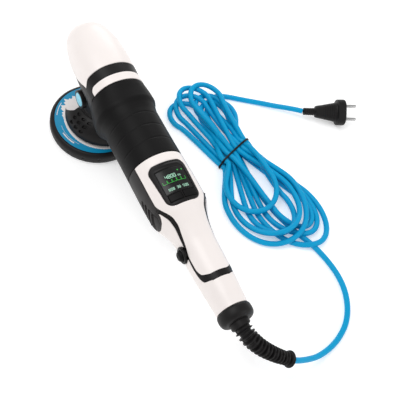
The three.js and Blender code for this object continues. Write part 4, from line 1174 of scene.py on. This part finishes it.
def dome(side):
    """Half the dome: its profile's radius and height, less what the slots and rounded edges take."""
    run = paced(90, DOME_RUN, (True, True), 0.7)[:, None] * DOME_RUN
    radius, height = smooth_through(DOME, run)
    start = mouth_at(radius, height)
    angle = start + (np.pi - start) * paced(170, 120, (True, False), 0.7)[None, :]
    press = np.zeros(angle.shape)
    for down, turn in VENTS:
        around = (angle - np.radians(turn)) * radius
        lean = run - down - 0.25 * around
        reach = 1.75 - np.hypot(lean, around - np.clip(around, -1.6, 1.6))
        press = np.maximum(press, pocket(reach, 2.4, 0.5))
    edge = np.minimum(np.minimum(run, DOME_RUN - run), (angle - start) * radius)
    r = radius - 0.75 * press - roll(edge, 0.7)
    z = height - 0.6 * press
    return np.stack([r * np.cos(angle), side * r * np.sin(angle) - OFFSET, z + 0 * angle], axis=-1)


piece("shroud_left", [dome(1)], BLACK, wall=0.9, stands_for=("shroud",))
piece("shroud_right", [dome(-1)], BLACK, wall=0.9, flip=True)
print("vents:", 2 * len(VENTS))

# %% [markdown]
# The backing plate is a disc of firm rubber with small notches round its rim. Its label has a blue outer
# ring and a white inner one. The border between them is a narrow band for most of the way round, and
# breaks into points on one side, like a splash. Marks like lines of small print run round the blue.

# %% Backing plate and label
PLATE_PROFILE = [(0, 2.0), (59.5, 2.0), (61.6, 2.6), (62.4, 4.4), (62.5, 7), (62.4, 11.2), (61.5, 13.9),
                 (59, 15.9), (57.7, 16.4), (57.2, 16.3), (20.2, 16.3), (12.4, 16.3), (12.4, 4.6), (0, 4.6)]
NOTCHES = 18
PLATE_BASE = 16.5


def notched(grid):
    """Small dimples round the rim, each 0.9 mm deep at its middle and fading out over an oval."""
    angle = np.arctan2(grid[..., 1], grid[..., 0])
    radius = np.hypot(grid[..., 0], grid[..., 1])
    step = 2 * np.pi / NOTCHES
    around = (np.mod(angle + step / 2, step) - step / 2) * radius
    away = np.hypot(around / 1.1, (grid[..., 2] - 9) / 1.5)
    depth = 0.9 * np.clip(1.6 - away, 0, 1) * (radius > 60)
    return grid * np.stack([1 - depth / 62, 1 - depth / 62, np.ones_like(depth)], axis=-1)


piece("pad_plate", [notched(turned(rounded(PLATE_PROFILE, 0.8), 360))], RUBBER, body="plate", wrap=True,
      stands_for=("backing_plate",))


def splash(angle):
    """Radius of the label's border: steady for most of the way, with points on the splashed side."""
    near = np.exp(-(((np.mod(angle - 0.62 + np.pi, 2 * np.pi) - np.pi) / 0.45) ** 2))
    wide = 10 * (0.5 - 0.5 * np.cos(angle - 0.7)) ** 2
    points = np.abs(np.mod(angle * 7.3, 2) - 1) ** 0.6 + 0.6 * np.abs(np.mod(angle * 17.7 + 0.4, 2) - 1)
    fine = 0.5 * np.abs(np.mod(angle * 26, 2) - 1) * (np.sin(angle * 3) > 0.1)
    return 43.0 + 1.15 * wide + near * (1.5 + 6 * points) + fine


def annulus(inner, outer, height, rings=5, sides=720):
    """A flat ring: radius = inner(a) + (outer(a) - inner(a)) * u."""
    angle = np.linspace(0, 2 * np.pi, sides, endpoint=False)[None]
    u = np.linspace(0, 1, rings)[:, None]
    low, high = value_at(inner, angle), value_at(outer, angle)
    radius = low + (high - low) * u
    return np.stack([radius * np.cos(angle), radius * np.sin(angle), height + 0 * radius], axis=-1)


LABEL_BLUE = moulded("label_blue", (0.0, 0.262, 0.485), 0.34, grain=2200, depth=0.000006, mottle=0.03)
LABEL_WHITE = moulded("label_white", (0.8, 0.76, 0.75), 0.36, grain=2200, depth=0.000006, mottle=0.02)
outer_ring = annulus(splash, 56.3, PLATE_BASE + 0.3)
inner_ring = annulus(20.4, lambda a: splash(a) - 0.02, PLATE_BASE + 0.3)
piece("label_ring", [outer_ring], LABEL_BLUE, body="plate", wrap=True, wall=0.25, flip=True,
      stands_for=("plate_label",))
piece("label_middle", [inner_ring], LABEL_WHITE, body="plate", wrap=True, wall=0.25, flip=True)


def print_marks(radius, start, end, count, size):
    """Short flat bars along an arc, uneven in length, like a line of small print."""
    places = np.radians(np.linspace(start, end, count))
    wide = np.radians((end - start) / count) * (0.35 + 0.3 * np.abs(np.sin(np.arange(count) * 2.4)))
    return [np.stack([r * np.cos(a), r * np.sin(a), 0 * a + PLATE_BASE + 0.34], axis=-1)
            for place, w in zip(places, wide)
            for r, a in [np.meshgrid([radius - size, radius + size], [place - w, place, place + w],
                                     indexing="ij")]]


marks = print_marks(51.5, 98, 120, 9, 0.9) + print_marks(49.0, 84, 128, 30, 0.2)
marks += print_marks(53.2, 40, 62, 12, 0.5)
piece("label_print", marks, LABEL_WHITE, body="plate", wall=0.05, flip=True)
print("label marks:", len(marks))

# %% [markdown]
# The parts inside, and the hook disc below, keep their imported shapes. Each takes a finish for what it is
# made of: ground steel, bright steel for bearings, turned alloy, wound copper, carbon, board or fleece.
# New meshes would show nothing more, as these parts are seen only when the machine is opened.

# %% Finishes of the inner parts
CARBON = moulded("pressed_carbon", (0.03, 0.03, 0.032), 0.75, grain=2500, depth=0.00004, mottle=0.2)
BOARD = moulded("circuit_green", (0.012, 0.09, 0.035), 0.45, grain=600, depth=0.00006, mottle=0.25)


def fleece(name, colour):
    """Hook fleece: two fine noises crossed at right angles, deep enough to look like rows of loops."""
    made = Finish(name)
    rows = made.noise(2600, detail=1, stretch=(1, 0.25, 1))
    lines = made.noise(2600, detail=1, stretch=(0.25, 1, 1))
    weave = rows * lines
    tint = made.mix(weave, shade(colour, 0.6), shade(colour, 1.7))
    made.surface(Base_Color=tint, Roughness=0.75 + weave * 0.4, Sheen_Weight=0.3)
    return made.surface(Normal=made.bump(weave, 0.0006))


HOOK = fleece("hook_fleece", (0.014, 0.014, 0.016))
INNER_FINISH = {
    STEEL: ("motor_shaft", "pinion", "field_stator", "crown_gear", "spindle", "eccentric", "trigger_pin"),
    CHROME: ("front_bearing", "rear_bearing", "brush_holder_left", "brush_holder_right",
             "spindle_top_bearing", "spindle_main_bearing", "plate_bearing"),
    ALLOY: ("capacitor", "plate_hub"),
    COPPER: ("armature_core", "commutator"),
    CARBON: ("carbon_brush_left", "carbon_brush_right"),
    BOARD: ("display_board",),
    CASING: ("switch_body", "motor_casing", "cooling_fan", "rear_bearing_seat"),
    HOOK: ("hook_disc",)}
for inner_finish, names in INNER_FINISH.items():
    for inner in names:
        frame["nodes"][inner].data.materials.clear()
        frame["nodes"][inner].data.materials.append(inner_finish)
print("inner parts:", sum(map(len, INNER_FINISH.values())))

# %% [markdown]
# A plain pale floor, a broad soft light overhead and a bright even sky. The floor glows a little of its
# own, which keeps it white under the soft shadows.

# %% Floor and light
floor_mesh = bpy.data.meshes.new("floor")
floor_mesh.from_pydata([(-6, -6, 0), (6, -6, 0), (6, 6, 0), (-6, 6, 0)], [], [(0, 1, 2, 3)])
floor = bpy.data.objects.new("floor", floor_mesh)
bpy.context.scene.collection.objects.link(floor)
FLOOR_WHITE = moulded("floor_white", (0.9, 0.9, 0.9), 0.9, grain=60, depth=0.0, mottle=0.0, specular=0.1,
                       glow=0.3)
floor_mesh.materials.append(FLOOR_WHITE)

world = bpy.data.worlds.new("sky")
world.use_nodes = True
sky = world.node_tree.nodes["Background"]
sky.inputs["Color"].default_value = (1.0, 1.0, 1.0, 1.0)
sky.inputs["Strength"].default_value = 0.62
bpy.context.scene.world = world


def soft_light(name, place, aim, size, power):
    """A square area light at place, turned to face aim."""
    lamp = bpy.data.lights.new(name, "AREA")
    lamp.size = size
    lamp.energy = power
    made = bpy.data.objects.new(name, lamp)
    back = unit(np.array(place) - np.array(aim))
    right = unit(np.cross([0.0, 0.0, 1.0], back))
    pose = np.eye(4)
    pose[:3, :3] = np.column_stack([right, np.cross(back, right), back])
    pose[:3, 3] = place
    made.matrix_world = Matrix(pose.tolist())
    bpy.context.scene.collection.objects.link(made)


soft_light("key", (0.2, 0.5, 1.5), (-0.15, -0.05, 0.05), 0.9, 10)
soft_light("fill", (-1.2, -0.9, 0.9), (-0.15, -0.05, 0.05), 1.0, 5)
soft_light("rim", (0.9, -0.7, 0.6), (-0.1, -0.05, 0.08), 0.6, 3)
bpy.context.scene.view_settings.view_transform = "Standard"
print("floor and", len(bpy.data.lights), "lights")
